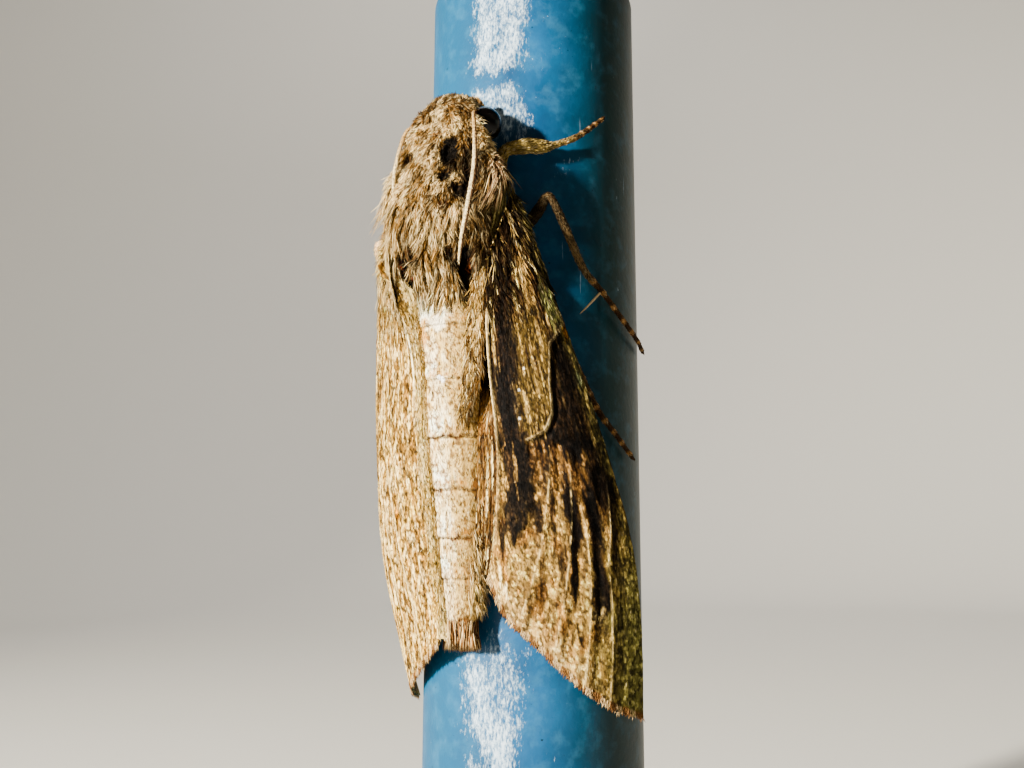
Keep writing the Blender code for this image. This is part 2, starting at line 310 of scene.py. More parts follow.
def tuft_mesh(name, surface, places, look, rings=2):
    """Thin closed blades, one at each place, lying along the surface.

    look holds a row or one value for each blade: turn and lift in radians, bend in radians,
    length, width and depth in millimetres, and tint.
    """
    a, b = places
    count = len(a)
    root = surface.at(surface.points, a, b)
    normal = unit(surface.at(surface.normals, a, b))
    back = surface.at(surface.lengthwise, a, b)
    back = unit(back - normal * (back * normal).sum(1, keepdims=True))
    side = np.cross(normal, back)
    value = {key: np.broadcast_to(look[key], (count,)) for key in look if key != "tint"}
    turn = value["turn"][:, None]
    heading = back * np.cos(turn) + side * np.sin(turn)
    across = -back * np.sin(turn) + side * np.cos(turn)
    step = value["length"][:, None] * MM / rings
    half = value["width"][:, None] * MM / 2
    deep = value["depth"][:, None] * MM
    lift = value["lift"][:, None]
    at = root - normal * deep * 0.5
    verts, painted_shades = [], []
    for ring in range(rings):
        share = ring / rings
        swell = 0.65 + 0.7 * share - 0.55 * share * share
        rise = np.cos(lift) * normal - np.sin(lift) * heading
        verts += [at - across * half * swell, at + across * half * swell, at + rise * deep * swell]
        # Each blade is painted darker towards its root and on its two sides than along its ridge,
        # and lightest at its tip: painted shade among the tufts.
        shade = 0.62 + 0.38 * share
        painted_shades += [shade * 0.9, shade * 0.9, shade]
        at = at + (heading * np.cos(lift) + normal * np.sin(lift)) * step
        lift = lift - value["bend"][:, None] / rings
    verts.append(at)
    painted_shades.append(1.12)
    per = len(verts)
    co = np.stack(verts, 1).reshape(-1, 3)
    faces = [(0, 2, 1)]
    for ring in range(rings - 1):
        lower, upper = 3 * ring, 3 * ring + 3
        for first, second in ((0, 1), (1, 2), (2, 0)):
            faces += [
                (lower + first, lower + second, upper + second),
                (lower + first, upper + second, upper + first),
            ]
    last = 3 * rings - 3
    faces += [(last, last + 1, per - 1), (last + 1, last + 2, per - 1), (last + 2, last, per - 1)]
    faces = np.array(faces)
    if np.cross(co[1] - co[0], co[2] - co[0]) @ (co[per - 1] - co[0]) < 0:
        faces = faces[:, ::-1]
    corners = (faces[None] + (np.arange(count) * per)[:, None, None]).reshape(-1)
    mesh = bpy.data.meshes.new(name)
    mesh.vertices.add(len(co))
    mesh.vertices.foreach_set("co", co.astype(np.float32).ravel())
    mesh.loops.add(len(corners))
    mesh.loops.foreach_set("vertex_index", corners.astype(np.int32))
    mesh.polygons.add(len(corners) // 3)
    mesh.polygons.foreach_set("loop_start", np.arange(0, len(corners), 3, dtype=np.int32))
    mesh.update(calc_edges=True)
    tint = np.clip(look["tint"][:, None, :] * np.array(painted_shades)[None, :, None], 0, 1)
    rgba = np.concatenate([tint, np.ones((count, per, 1))], 2).reshape(-1, 4)
    layer = mesh.attributes.new("Tint", "FLOAT_COLOR", "POINT")
    layer.data.foreach_set("color", rgba.astype(np.float32).ravel())
    local = np.zeros((per, 2))
    for index in range(per - 1):
        local[index] = ((0.0, 1.0, 0.5)[index % 3], (index // 3) / rings)
    local[per - 1] = (0.5, 1.0)
    middle = np.stack([PATCH_EDGE + PATCH_SPAN * b, PATCH_EDGE + PATCH_SPAN * a], 1)
    flat = (middle[:, None] + (local[None] - 0.5) * PATCH).reshape(-1, 2)
    bake = mesh.uv_layers.new(name="OFBake")
    bake.data.foreach_set("uv", flat[corners].astype(np.float32).ravel())
    mesh.shade_smooth()
    mesh.validate()
    return mesh


def shell_piece(name, surface, tint, finish, slot, *replaced):
    """A closed shell on a surface."""
    mesh = surface_mesh(name, surface, tint, closed=True)
    return new_piece(name, mesh, finish, slot, *replaced)


def coat_piece(name, surface, places, look, slot, rings=2):
    """A coat of tufts on a surface."""
    return new_piece(name, tuft_mesh(name, surface, places, look, rings), coat_finish, slot)


# ---------------------------------------------------------------- materials

def add_node(tree, kind, settings=None, **links):
    """One node: settings are its properties and socket values, links its inputs."""
    node = tree.nodes.new(kind)
    for key, value in (settings or {}).items():
        if key in node.inputs:
            node.inputs[key].default_value = value
        else:
            setattr(node, key, value)
    for key, source in links.items():
        # i0 stands for the first input, where inputs share a name.
        numbered = key[0] == "i" and key[1:].isdigit()
        tree.links.new(source, node.inputs[int(key[1:]) if numbered else key])
    return node


def new_material(name, **sockets):
    made = bpy.data.materials.new(name)
    made.use_nodes = True
    shader = made.node_tree.nodes["Principled BSDF"]
    for key, value in sockets.items():
        shader.inputs[key.replace("_", " ")].default_value = value
    return made, made.node_tree, shader


def mix_colour(tree, mode, factor, first, second):
    node = tree.nodes.new("ShaderNodeMix")
    node.data_type = "RGBA"
    node.blend_type = mode
    for index, value in ((0, factor), (6, first), (7, second)):
        if isinstance(value, bpy.types.NodeSocket):
            tree.links.new(value, node.inputs[index])
        else:
            node.inputs[index].default_value = value if index == 0 else (*value, 1.0)
    return node.outputs[2]


def per_mm(size):
    """A pattern scale that gives features of this size in millimetres."""
    return 1.0 / (size * MM)


def object_noise(tree, size, detail):
    """Noise fixed to the model, with features of a size in millimetres."""
    place = add_node(tree, "ShaderNodeTexCoord")
    return add_node(
        tree, "ShaderNodeTexNoise", {"Scale": per_mm(size), "Detail": detail},
        Vector=place.outputs["Object"],
    ).outputs["Fac"]


def fitted(tree, value, low, high, least=0.0, most=1.0):
    """The stretch of a value from low to high, spread from least to most."""
    return add_node(
        tree, "ShaderNodeMapRange",
        {"From Min": low, "From Max": high, "To Min": least, "To Max": most}, Value=value,
    ).outputs["Result"]


def bumped(tree, shader, height, strength, relief, **settings):
    """Relief in the surface's shading, of a depth in millimetres."""
    settings = {"Strength": strength, "Distance": relief * MM, **settings}
    bump = add_node(tree, "ShaderNodeBump", settings, Height=height)
    tree.links.new(bump.outputs["Normal"], shader.inputs["Normal"])


def hair_scales():
    """Hair-like scales of chitin, grown and dry: matt, faintly silky, each a little different."""
    made, tree, shader = new_material(
        "hair_scales_dry_chitin", Roughness=0.6, Specular_IOR_Level=0.04,
    )
    tint = add_node(tree, "ShaderNodeAttribute", {"attribute_name": "Tint"})
    spread = fitted(tree, object_noise(tree, 0.35, 2.0), 0.3, 0.7, 0.7, 1.2)
    colour = mix_colour(tree, "MULTIPLY", 1.0, tint.outputs["Color"], spread)
    tree.links.new(colour, shader.inputs["Base Color"])
    return made


def scaled_skin(name, streak_length, streak_width, relief):
    """Close dust-fine scales on the shell beneath: matt, with fine streaks the way they lie."""
    made, tree, shader = new_material(name, Roughness=0.72, Specular_IOR_Level=0.04)
    tint = add_node(tree, "ShaderNodeAttribute", {"attribute_name": "Tint"})
    flow = add_node(tree, "ShaderNodeUVMap", {"uv_map": "Flow"})
    stretch = add_node(tree, "ShaderNodeMapping", Vector=flow.outputs["UV"])
    stretch.inputs["Scale"].default_value = (per_mm(streak_width), per_mm(streak_length), 1.0)
    streak = add_node(
        tree, "ShaderNodeTexNoise", {"Scale": 1.0, "Detail": 3.0, "Roughness": 0.6},
        Vector=stretch.outputs["Vector"],
    ).outputs["Fac"]
    spread = fitted(tree, streak, 0.3, 0.7, 0.6, 1.25)
    colour = mix_colour(tree, "MULTIPLY", 1.0, tint.outputs["Color"], spread)
    bumped(tree, shader, streak, 0.6, relief)
    tree.links.new(colour, shader.inputs["Base Color"])
    return made


def compound_eye():
    """A compound eye: hard clear cuticle over black, polished, in tiny six-sided facets."""
    made, tree, shader = new_material(
        "compound_eye_cuticle", Roughness=0.1, Base_Color=(*hexa("#030202"), 1.0),
        Specular_IOR_Level=0.16,
    )
    place = add_node(tree, "ShaderNodeTexCoord")
    # Real facets are 0.03 mm across, too fine to show, so they are drawn at 0.09 mm.
    facet = add_node(
        tree, "ShaderNodeTexVoronoi", {"Scale": per_mm(0.09)}, Vector=place.outputs["Object"],
    )
    bumped(tree, shader, facet.outputs["Distance"], 0.25, 0.01, invert=True)
    return made


# Where chalk and scrapes, with the painted highlight that shares their strip, gather on the pole,
# as heights in metres above the floor: all above the moth's head but for a narrow gap, and all
# below its tail.
HEAD_CHALK, TAIL_CHALK = (0.0715, 0.0750), (0.0310, 0.0265)
CHALK_GAP, CHALK_GAP_EDGE = 0.0786, (0.0001, 0.0013)


def worn_paint():
    """Gloss enamel brushed on a steel pole, weathered: chalked and scraped pale in patches. The
    patches gather in the strip where the broad highlight falls, so they are partly painted
    highlight; the side towards the light is painted lighter, and the far side dark blue-green as
    painted shade and painted reflection.
    """
    made, tree, shader = new_material("weathered_enamel_paint", Specular_IOR_Level=0.14)
    place = add_node(tree, "ShaderNodeTexCoord").outputs["Object"]

    def noise(size, detail, stretch=(1.0, 1.0, 1.0), rough=0.6):
        spread = add_node(tree, "ShaderNodeMapping", {"Scale": stretch}, Vector=place)
        return add_node(
            tree, "ShaderNodeTexNoise",
            {"Scale": per_mm(size), "Detail": detail, "Roughness": rough},
            Vector=spread.outputs["Vector"],
        ).outputs["Fac"]

    def limits(value, low, high, least=0.0, most=1.0):
        return fitted(tree, value, low, high, least, most)

    def combined(operation, first, second):
        node = add_node(tree, "ShaderNodeMath", {"operation": operation})
        for socket, value in zip(node.inputs, (first, second)):
            if isinstance(value, bpy.types.NodeSocket):
                tree.links.new(value, socket)
            else:
                socket.default_value = value
        return node.outputs["Value"]

    def both(first, second):
        return combined("MULTIPLY", first, second)

    def facing(azimuth):
        """1 on the side of the pole that faces an azimuth, -1 opposite it."""
        turn, reach = math.radians(azimuth), per_mm(POLE_RADIUS)
        node = add_node(tree, "ShaderNodeVectorMath", {"operation": "DOT_PRODUCT"}, i0=place)
        node.inputs[1].default_value = (math.sin(turn) * reach, -math.cos(turn) * reach, 0.0)
        return node.outputs["Value"]

    height = add_node(tree, "ShaderNodeSeparateXYZ", i0=place).outputs["Z"]
    upper = limits(height, *HEAD_CHALK)
    step = add_node(tree, "ShaderNodeMath", {"operation": "SUBTRACT"}, i0=height)
    step.inputs[1].default_value = CHALK_GAP
    bare = add_node(tree, "ShaderNodeMath", {"operation": "ABSOLUTE"}, i0=step.outputs["Value"])
    upper = both(upper, limits(bare.outputs["Value"], *CHALK_GAP_EDGE, 0.3, 1.0))
    ends = combined("MAXIMUM", upper, limits(height, *TAIL_CHALK))
    # Chalk gathers in a narrow strip facing azimuth 10 degrees, where the broad highlight falls:
    # partly real chalk, partly painted highlight.
    region = both(limits(facing(10.0), 0.925, 0.99), ends)
    blotch = noise(2.6, 4.0, (1.0, 1.0, 0.6), 0.65)
    grit = noise(0.22, 4.0, (1.0, 1.0, 0.4), 0.75)
    mottle = combined("ADD", both(blotch, 0.55), both(grit, 0.45))
    edge = combined("ADD", mottle, both(region, 0.2))
    patch = limits(edge, 0.63, 0.78, 0.0, 0.85)
    chips = limits(noise(0.4, 3.0), 0.78, 0.79)
    scratches = limits(noise(0.5, 2.0, (1.0, 1.0, 0.06)), 0.74, 0.79, 0.0, 0.4)
    worn = combined("MAXIMUM", combined("MAXIMUM", patch, chips), scratches)
    shade = limits(noise(7.0, 4.0), 0.35, 0.65)
    blue = mix_colour(tree, "MIX", shade, hexa("#052C4B"), hexa("#0A4066"))
    lit_side = limits(facing(-35.0), 0.6, 0.98, 0.0, 0.8)
    blue = mix_colour(tree, "MIX", lit_side, blue, hexa("#053E5C"))
    # The far side, turned from the light, is painted dark blue-green: painted shade with a painted
    # green reflection.
    far_side_shade_and_reflection = limits(facing(112.0), 0.2, 0.8, 0.0, 0.9)
    blue = mix_colour(tree, "MIX", far_side_shade_and_reflection, blue, hexa("#03201A"))
    film = limits(noise(1.6, 5.0), 0.5, 0.8, 0.0, 0.22)
    blue = mix_colour(tree, "MIX", film, blue, hexa("#3A7696"))
    chalk = mix_colour(tree, "MIX", limits(grit, 0.35, 0.62), hexa("#2C587E"), hexa("#AEC0CF"))
    colour = mix_colour(tree, "MIX", worn, blue, chalk)
    pits = limits(noise(0.4, 2.0, rough=0.4), 0.22, 0.25)
    colour = mix_colour(tree, "MIX", pits, hexa("#06141F"), colour)
    rough = limits(worn, 0.0, 1.0, 0.4, 0.7)
    peel = combined("ADD", noise(0.5, 3.0), limits(worn, 0.0, 1.0, 0.0, -0.35))
    bumped(tree, shader, peel, 0.5, 0.06)
    tree.links.new(colour, shader.inputs["Base Color"])
    tree.links.new(rough, shader.inputs["Roughness"])
    return made


def powder_coat():
    """Powder-coated steel, baked: even satin grey with a fine orange-peel."""
    made, tree, shader = new_material("powder_coated_steel", Roughness=0.5)
    peel = object_noise(tree, 0.5, 2.0)
    colour = mix_colour(tree, "MIX", peel, hexa("#8C8C8A"), hexa("#9A9A98"))
    bumped(tree, shader, peel, 0.2, 0.03)
    tree.links.new(colour, shader.inputs["Base Color"])
    return made


def studio_paper():
    """Seamless background paper, matt and pale."""
    return new_material(
        "seamless_background_paper", Roughness=0.9, Base_Color=(*hexa("#DEDBD4"), 1.0),
        Specular_IOR_Level=0.1,
    )[0]


# ---------------------------------------------------------------- the body's skin

HEAD_TIP, TAIL_TIP = 23.55, -24.05
WAIST, BRUSH = 5.0, -21.4
SEGMENT_ENDS = (2.6, -1.9, -6.6, -10.85, -14.8, -18.0)
# The height of the body's axis at places along it.
SPINE = (
    (-24.1, 11.7), (-21.5, 11.95), (-13.0, 12.7), (-3.0, 13.35), (4.0, 13.65),
    (8.0, 14.7), (13.0, 14.9), (17.0, 14.1), (20.8, 13.6), (23.6, 13.8),
)


def spine(along):
    rows = np.array(SPINE)
    return np.interp(along, rows[:, 0], rows[:, 1])


def merged_tree(*names):
    """A search tree over copies of some CAD nodes."""
    bm = bmesh.new()
    for name in names:
        bm.from_mesh(NODES[name].data)
    bmesh.ops.remove_doubles(bm, verts=bm.verts, dist=1e-6)
    tree = BVHTree.FromBMesh(bm)
    bm.free()
    return tree


# How far the skin lies beneath the CAD's outline, as places along and millimetres.
COAT_DEPTHS = (
    (-24.1, 0.35), (-21.6, 0.16), (-21.2, 0.16), (4.2, 0.16), (6.0, 0.55),
    (16.0, 0.6), (19.0, 0.5), (22.0, 0.35), (23.6, 0.3),
)

# The hollows between locks, painted dark as shade on the skin and in the coat: centre's turn in
# degrees and place along, half sizes in degrees and millimetres, depth in millimetres.
HOLLOWS = (
    (31, 17.2, 16, 1.5, 0.5), (-50, 17.5, 14, 0.7, 0.22), (30, 14.8, 12, 0.6, 0.4),
    (57, 6.9, 11, 2.2, 0.9), (-38, 6.5, 14, 1.6, 0.65), (57, 15.0, 5, 3.0, 0.35),
    (46, 13.3, 8, 1.0, 0.35), (39, 7.9, 7, 0.8, 0.4), (-16, 8.2, 18, 0.6, 0.3),
)


def coat_depth(along):
    rows = np.array(COAT_DEPTHS)
    return np.interp(along, rows[:, 0], rows[:, 1])


def filled_out(radius, along, turn):
    """The coat fills the neck and rounds the crown and shoulders, so the skin follows it."""
    bridged = radius.copy()
    for reach in range(1, 75):
        mean = np.zeros_like(bridged)
        mean[reach:-reach] = (bridged[2 * reach:] + bridged[:-2 * reach]) / 2
        bridged = np.maximum(bridged, mean)
    upper = ramp(along, 12.0, 14.0)[:, None] * ramp(-np.abs(turn), -125, -105)[None]
    radius = radius + (bridged - radius) * upper
    crown = hump(along, 19.9, 1.9)[:, None]
    brow = hump(np.abs(turn), 55, 26)[None] * np.where(turn < 0, 0.75, 0.15)[None]
    shoulder = hump(along, 15.4, 2.3)[:, None]
    flank = hump(np.abs(turn), 90, 17)[None]
    side = (ramp(along, 6.5, 9.5) * ramp(-along, -18.5, -15.5))[:, None]
    left = hump(turn, -62, 26)[None]
    reach = np.where(turn < 0, 0.35, 1.05)[None]
    return radius + crown * brow + shoulder * flank * reach + side * left * 0.12


def dents(turn, along):
    """Depth in millimetres of the hollows between locks, their outlines made uneven."""
    depth = np.zeros(np.shape(turn))
    turn, along = (
        turn + (mixed_grain(turn / 5.0, along * 1.6, 15) - 0.5) * 11.0,
        along + (mixed_grain(turn / 6.0, along * 1.5, 17) - 0.5) * 1.0,
    )
    for centre, place, wide, tall, deep in HOLLOWS:
        away = np.hypot((turn - centre) / wide, (along - place) / tall)
        depth = depth + deep * (1 - ramp(away, 0.3, 1.1))
    return depth


def body_surface(na=430, nb=150):
    """The skin from head to tail brush, felt out on the CAD solids and drawn in by the coat."""
    tree = merged_tree(*FLESH)
    probe = 14.0 * MM
    share = np.linspace(0, 1, na)
    # Rings crowd together at both rounded ends.
    share = share - 0.12 * np.sin(2 * np.pi * share) / (2 * np.pi)
    along = HEAD_TIP + (TAIL_TIP - HEAD_TIP) * share
    turn = np.linspace(-np.pi, np.pi, nb)
    centre = spine(along)
    radius = np.full((na, nb), np.nan)
    for i in range(na):
        for j in range(nb - 1):
            out = Vector((math.sin(turn[j]), -math.cos(turn[j]), 0.0))
            middle = spot(0.0, centre[i], along[i])
            found = tree.ray_cast(middle + out * probe, -out, probe)
            if found[0] is not None:
                radius[i, j] = (found[0] - middle).length / MM
        radius[i, nb - 1] = radius[i, 0]
    for j in range(nb):
        column = radius[:, j]
        good = ~np.isnan(column)
        radius[:, j] = np.interp(np.arange(na), np.flatnonzero(good), column[good])
    pinch = np.minimum(ramp(HEAD_TIP - along, 0, 0.5), ramp(along - TAIL_TIP, 0, 0.5))
    radius = filled_out(soften(radius[:, :-1], 4, True), along, np.degrees(turn[:-1]))
    radius = np.hstack([radius, radius[:, :1]])
    radius = np.maximum(radius - coat_depth(along)[:, None], 0.05)
    radius = radius * np.sqrt(np.clip(pinch, 0, 1))[:, None] + 0.001
    for end in SEGMENT_ENDS:
        ahead, behind = along - end, end - along
        lip = np.where((ahead >= 0) & (ahead < 1.8), 0.07 * (1 - ahead / 1.8), 0.0)
        dip = np.where((behind > 0) & (behind < 0.5), -0.1 * (1 - behind / 0.5), 0.0)
        radius = radius + (lip + dip)[:, None]
    turns = np.broadcast_to(turn, radius.shape)
    radius = radius - dents(np.degrees(turns), along[:, None])
    alongs = np.broadcast_to(along[:, None], radius.shape)
    heights = np.broadcast_to(centre[:, None], alongs.shape)
    points = np.stack([radius * np.sin(turns), heights + radius * np.cos(turns), alongs], -1)
    axis = np.stack([np.zeros_like(alongs), heights, alongs], -1)
    return Surface(world(points), world(axis), wrap=True), np.degrees(turns), alongs


# Marks on the body: centre's turn in degrees and place along, half sizes in degrees and
# millimetres, colour, strength. Turn 0 is the middle of the back, positive to the right.
# The darkest marks lie over the hollows and on the right flank turned from the light, and
# are painted shade there.
BODY_MARKS = (
    (-36, 6.2, 15, 1.5, "#120A06", 0.95),
    (-42, 4.0, 6, 0.5, "#8C2F14", 0.8),
    (-12, 12.0, 10, 0.35, "#6A4220", 0.6),
    (2, 10.2, 16, 1.5, "#D0AE74", 0.5),
    (4, 6.3, 12, 0.9, "#D0AE74", 0.5),
    (10, 18.9, 9, 0.3, "#8A5224", 0.6),
    (31, 17.2, 16, 1.5, "#0B0705", 0.98),
    (42, 15.6, 8, 0.9, "#1A100A", 0.8),
    (-50, 17.5, 14, 0.6, "#26140A", 0.9),
    (30, 14.8, 12, 0.55, "#140C07", 0.95),
    (46, 13.3, 8, 0.9, "#1C100A", 0.9),
    (36, 12.0, 6, 0.3, "#4A2010", 0.85),
    (57, 15.4, 9, 3.3, "#24150C", 0.92),
    (78, 15.2, 8, 2.4, "#A58468", 0.6),
    (92, 14.0, 8, 3.5, "#4A3A20", 0.7),
    (-16, 8.1, 20, 0.5, "#4E2A14", 0.9),
    (-40, 6.8, 12, 1.3, "#120A06", 0.96),
    (-48, 7.3, 6, 0.5, "#7A2E14", 0.8),
    (39, 7.9, 7, 0.7, "#3A1A0E", 0.85),
    (-18, 3.95, 18, 0.5, "#F6EBD2", 0.95),
    (57, 6.8, 10, 2.2, "#0E0907", 0.96),
    (65, 7.0, 4, 0.5, "#94502E", 0.85),
    (8, 2.6, 13, 0.75, "#EFE3CB", 0.8),
    (-22, 1.6, 9, 1.0, "#C88A3C", 0.7),
    (-30, -1.6, 9, 0.5, "#3E2413", 0.9),
    (12, -1.9, 7, 0.22, "#FFFFFF", 0.9),
    (67, -14.4, 14, 1.2, "#8E683C", 0.6),
    (70, -10.4, 8, 0.4, "#7A4A28", 0.8),
    (62, -18.0, 12, 1.4, "#9C7446", 0.6),
)


# The darkest of the lines between the abdomen's segments.
DARK_LINES = (-6.6, -10.85, -14.8)


def abdomen_tint(turn, along, x, y):
    """Cream scales with whiter blocks behind each segment's edge, browner down the flanks. The
    blocks sit left of the middle, where the light falls, and the right flank browns from the middle
    on, so both are partly painted highlight and shade.
    """
    tone = plain("#DDBC7C", turn)
    ragged = turn + (mixed_grain(x * 2.2, y * 1.1, 45) - 0.5) * 46
    # The whiter blocks are centred left of the back's middle, towards the light: partly painted
    # highlight.
    blocks = ramp(52 - np.abs(ragged + 14), 0, 34)
    blocks = blocks * ramp(mixed_grain(x * 1.6, y * 0.7, 47), 0.25, 0.5)
    rears = sum(hump(along - end, 0.95, 0.95) for end in SEGMENT_ENDS)
    blocks = blocks * (0.4 + 0.6 * np.minimum(rears, 1.0))
    tone = blend_in(tone, blocks, "#FFF4D8")
    # Browner from just right of the middle, away from the light: partly painted shade.
    tone = blend_in(tone, ramp(ragged, -4, 85) * 0.75, "#9A7A44")
    tone = blend_in(tone, ramp(-ragged, 36, 75) * 0.6, "#A97B40")
    tone = mottled(tone, x, y, 2.4, 1.9, 41, 0.5, 0.8, 0.6, "#A0763C")
    return mottled(tone, x, y, 4.2, 3.6, 49, 0.52, 0.66, 0.8, "#6A4420")


def body_tint(turn, along):
    """The body's colour at a turn in degrees and a place along in millimetres."""
    x, y = turn / 14.0, along
    turn, along = (
        turn + (mixed_grain(x * 1.3, y * 1.3, 3) - 0.5) * 9.0,
        along + (mixed_grain(x * 1.5, y * 1.5, 9) - 0.5) * 0.7,
    )
    tone = plain("#AA8048", turn)
    tone = blend_in(tone, ramp(along, 19.0, 21.5), "#8C663A")
    tone = mottled(tone, x, y, 0.9, 0.8, 21, 0.25, 0.75, 0.65, "#5A3C1E")
    tone = mottled(tone, x, y, 1.1, 0.9, 33, 0.45, 0.7, 0.65, "#E2C48E")
    # The thorax's right flank is painted darker, as shade on the side turned from the light.
    tone = blend_in(tone, ramp(turn, 42, 60) * ramp(-along, -15.5, -13.0) * 0.75, "#402710")
    abdomen = abdomen_tint(turn, along, x, y)
    tone = blend_in(tone, ramp(-along, -WAIST - 0.4, -WAIST + 0.5), abdomen)
    tone = blend_in(tone, ramp(-np.cos(np.radians(turn)), 0.1, 0.7) * 0.7, "#B9A88A")
    for end in SEGMENT_ENDS:
        line = hump(along - end, -0.05, 0.15) * (0.97 if end in DARK_LINES else 0.5)
        line = line * (0.6 + 0.4 * ramp(mixed_grain(x * 1.2, y * 0.4, 44), 0.35, 0.55))
        tone = blend_in(tone, line, "#42180A")
        rim = ramp(along - end, 0.1, 0.3) * (1 - ramp(along - end, 0.5, 1.0))
        tone = blend_in(tone, rim * ramp(grain(x * 4, y * 2, 43), 0.4, 0.7) * 0.5, "#B87A34")
    tone = blend_in(tone, ramp(-along, -BRUSH - 0.3, -BRUSH + 0.1), "#6B4420")
    for centre, place, wide, tall, code, strength in BODY_MARKS:
        away = np.hypot((turn - centre) / wide, (along - place) / tall)
        tone = blend_in(tone, (1 - ramp(away, 0.75, 1.15)) * strength, code)
    return richer(tone, 1.35, 1.15, 0.5)


skin_surface, skin_turns, skin_alongs = body_surface()
skin_finish = scaled_skin("scaled_body_shell", 0.5, 0.12, 0.08)
coat_finish = hair_scales()
skin_colour = body_tint(skin_turns, skin_alongs)
# The skin under the coat is painted a fifth darker than the coat, as shade beneath the hair.
shell_piece("body_skin", skin_surface, skin_colour * 0.8, skin_finish, "scaled_body", *FLESH)


def skin_places(density, seed):
    """Random places on the skin, with their turns in degrees and places along."""
    places = skin_surface.scatter(density, seed)
    turn, along = skin_surface.at(np.stack([skin_turns, skin_alongs], -1), *places).T
    return places, turn, along


def eye_distance(side):
    """Metres from each point of the skin to the middle of one eye."""
    return np.linalg.norm(skin_surface.points - np.array(eye_middle(side)), axis=-1)


# ---------------------------------------------------------------- the body's coat

def pick(rng, tint, pale, dark):
    """Each tuft's own tint: most near the surface's colour, some pale, some dark."""
    count = len(tint)
    value = tint * varied(rng, 0.4, count)[:, None]
    bright = np.clip(tint.mean(1, keepdims=True) / 0.25, 0, 1)
    draw = rng.random(count)
    value = np.where((draw < pale)[:, None], value * 0.3 + hue("#F6DCA4") * 0.7 * bright, value)
    value = np.where((draw > 1 - dark)[:, None], value * 0.25, value)
    return np.clip(value, 0.0, 0.95)


def locks(surface, places, seed, density, pull):
    """Gathers tufts into locks: each one's extra turn in radians, and its lock's number."""
    rng = np.random.default_rng(seed)
    a, b = surface.scatter(density, seed)
    tree = KDTree(len(a))
    middles = surface.at(surface.points, a, b)
    for index, middle in enumerate(middles):
        tree.insert(Vector(middle), index)
    tree.balance()
    roots = surface.at(surface.points, *places)
    mine = np.array([tree.find(Vector(root))[1] for root in roots])
    normal = unit(surface.at(surface.normals, *places))
    back = unit(surface.at(surface.lengthwise, *places))
    side = np.cross(normal, back)
    offset = ((middles[mine] - roots) * side).sum(1) / MM
    return np.clip(offset * pull, -0.7, 0.7), mine, rng.random((len(a), 3))


# Stretches of coat: from and to along the body, tufts on a square millimetre, seed, a tuft's
# length, width and lift, how far tufts stray, shares of pale and of dark ones, locks on a
# square millimetre, rings in a tuft.
BODY_COATS = (
    ("coat_head", 18.4, 23.6, 140, 11, 0.58, 0.082, 0.58, 0.6, 0.26, 0.3, 4.2, 2),
    ("coat_collar", 12.0, 18.4, 100, 12, 0.9, 0.08, 0.46, 0.55, 0.3, 0.3, 3.4, 2),
    ("coat_thorax", 4.9, 12.0, 85, 13, 1.4, 0.08, 0.36, 0.46, 0.36, 0.24, 2.6, 2),
    ("coat_abdomen", -21.3, 4.9, 84, 14, 0.28, 0.078, 0.14, 0.3, 0.25, 0.36, 4.0, 1),
)
BARE_AROUND_EYE = 2.0
# Where the hair of the crown turns about to point ahead over the face.
CROWN = (21.4, 22.8)


def body_coat(name, low, high, density, seed, length, width, lift, spread, pale, dark, lock, rings):
    """A coat over one stretch of the body. It parts over the hollows and lies flat by the wings;
    its tufts in the hollows are painted darker, as shade.
    """
    rng = np.random.default_rng(seed)
    edge = 0.4
    cover = ramp(skin_alongs, low - edge, low) * (1 - ramp(skin_alongs, high, high + edge))
    for side in (-1, 1):
        cover = cover * (eye_distance(side) > BARE_AROUND_EYE * MM)
    cover = cover * (1 - 0.5 * np.clip(dents(skin_turns, skin_alongs) / 0.4, 0, 1))
    places, turn, along = skin_places(cover * density, seed)
    count = len(turn)
    gather, mine, own = locks(skin_surface, places, seed + 1, lock, 0.75)
    crown = ramp(along, *CROWN)
    tint = pick(rng, body_tint(turn, along - 0.55 * length * (1 - 2 * crown)), pale, dark)
    tint = tint * (0.8 + 0.32 * own[mine, 0])[:, None]
    swirl = (mixed_grain(turn / 16.0, along * 0.5, seed + 3) - 0.5) * 2.0
    ahead = length * (1 - 2 * crown)
    crossing = np.maximum(dents(turn, along - 0.9 * ahead), dents(turn, along - 0.45 * ahead))
    look = {
        "turn": swirl * spread + (own[mine, 1] - 0.5) * spread * 1.3 + gather
        + rng.normal(0, spread * 0.22, count) + crown * math.pi * 0.9,
        "lift": (lift * (0.35 + 1.1 * own[mine, 2]) + rng.normal(0, lift * 0.2, count))
        * (1 - 0.55 * ramp(-turn, 60, 85)),
        "bend": lift * 0.9 + rng.normal(0, 0.08, count),
        "length": length * varied(rng, 0.2, count) * (1 - 0.3 * crown)
        * (1 - 0.7 * np.clip(crossing / 0.15, 0, 1)),
        "width": width * varied(rng, 0.2, count),
        "depth": width * 0.4,
        # Tufts in the hollows are darkened: painted shade.
        "tint": tint * (1 - 0.85 * np.clip(dents(turn, along) / 0.12, 0, 1))[:, None],
    }
    coat_piece(name, skin_surface, places, look, "scaled_body", rings)


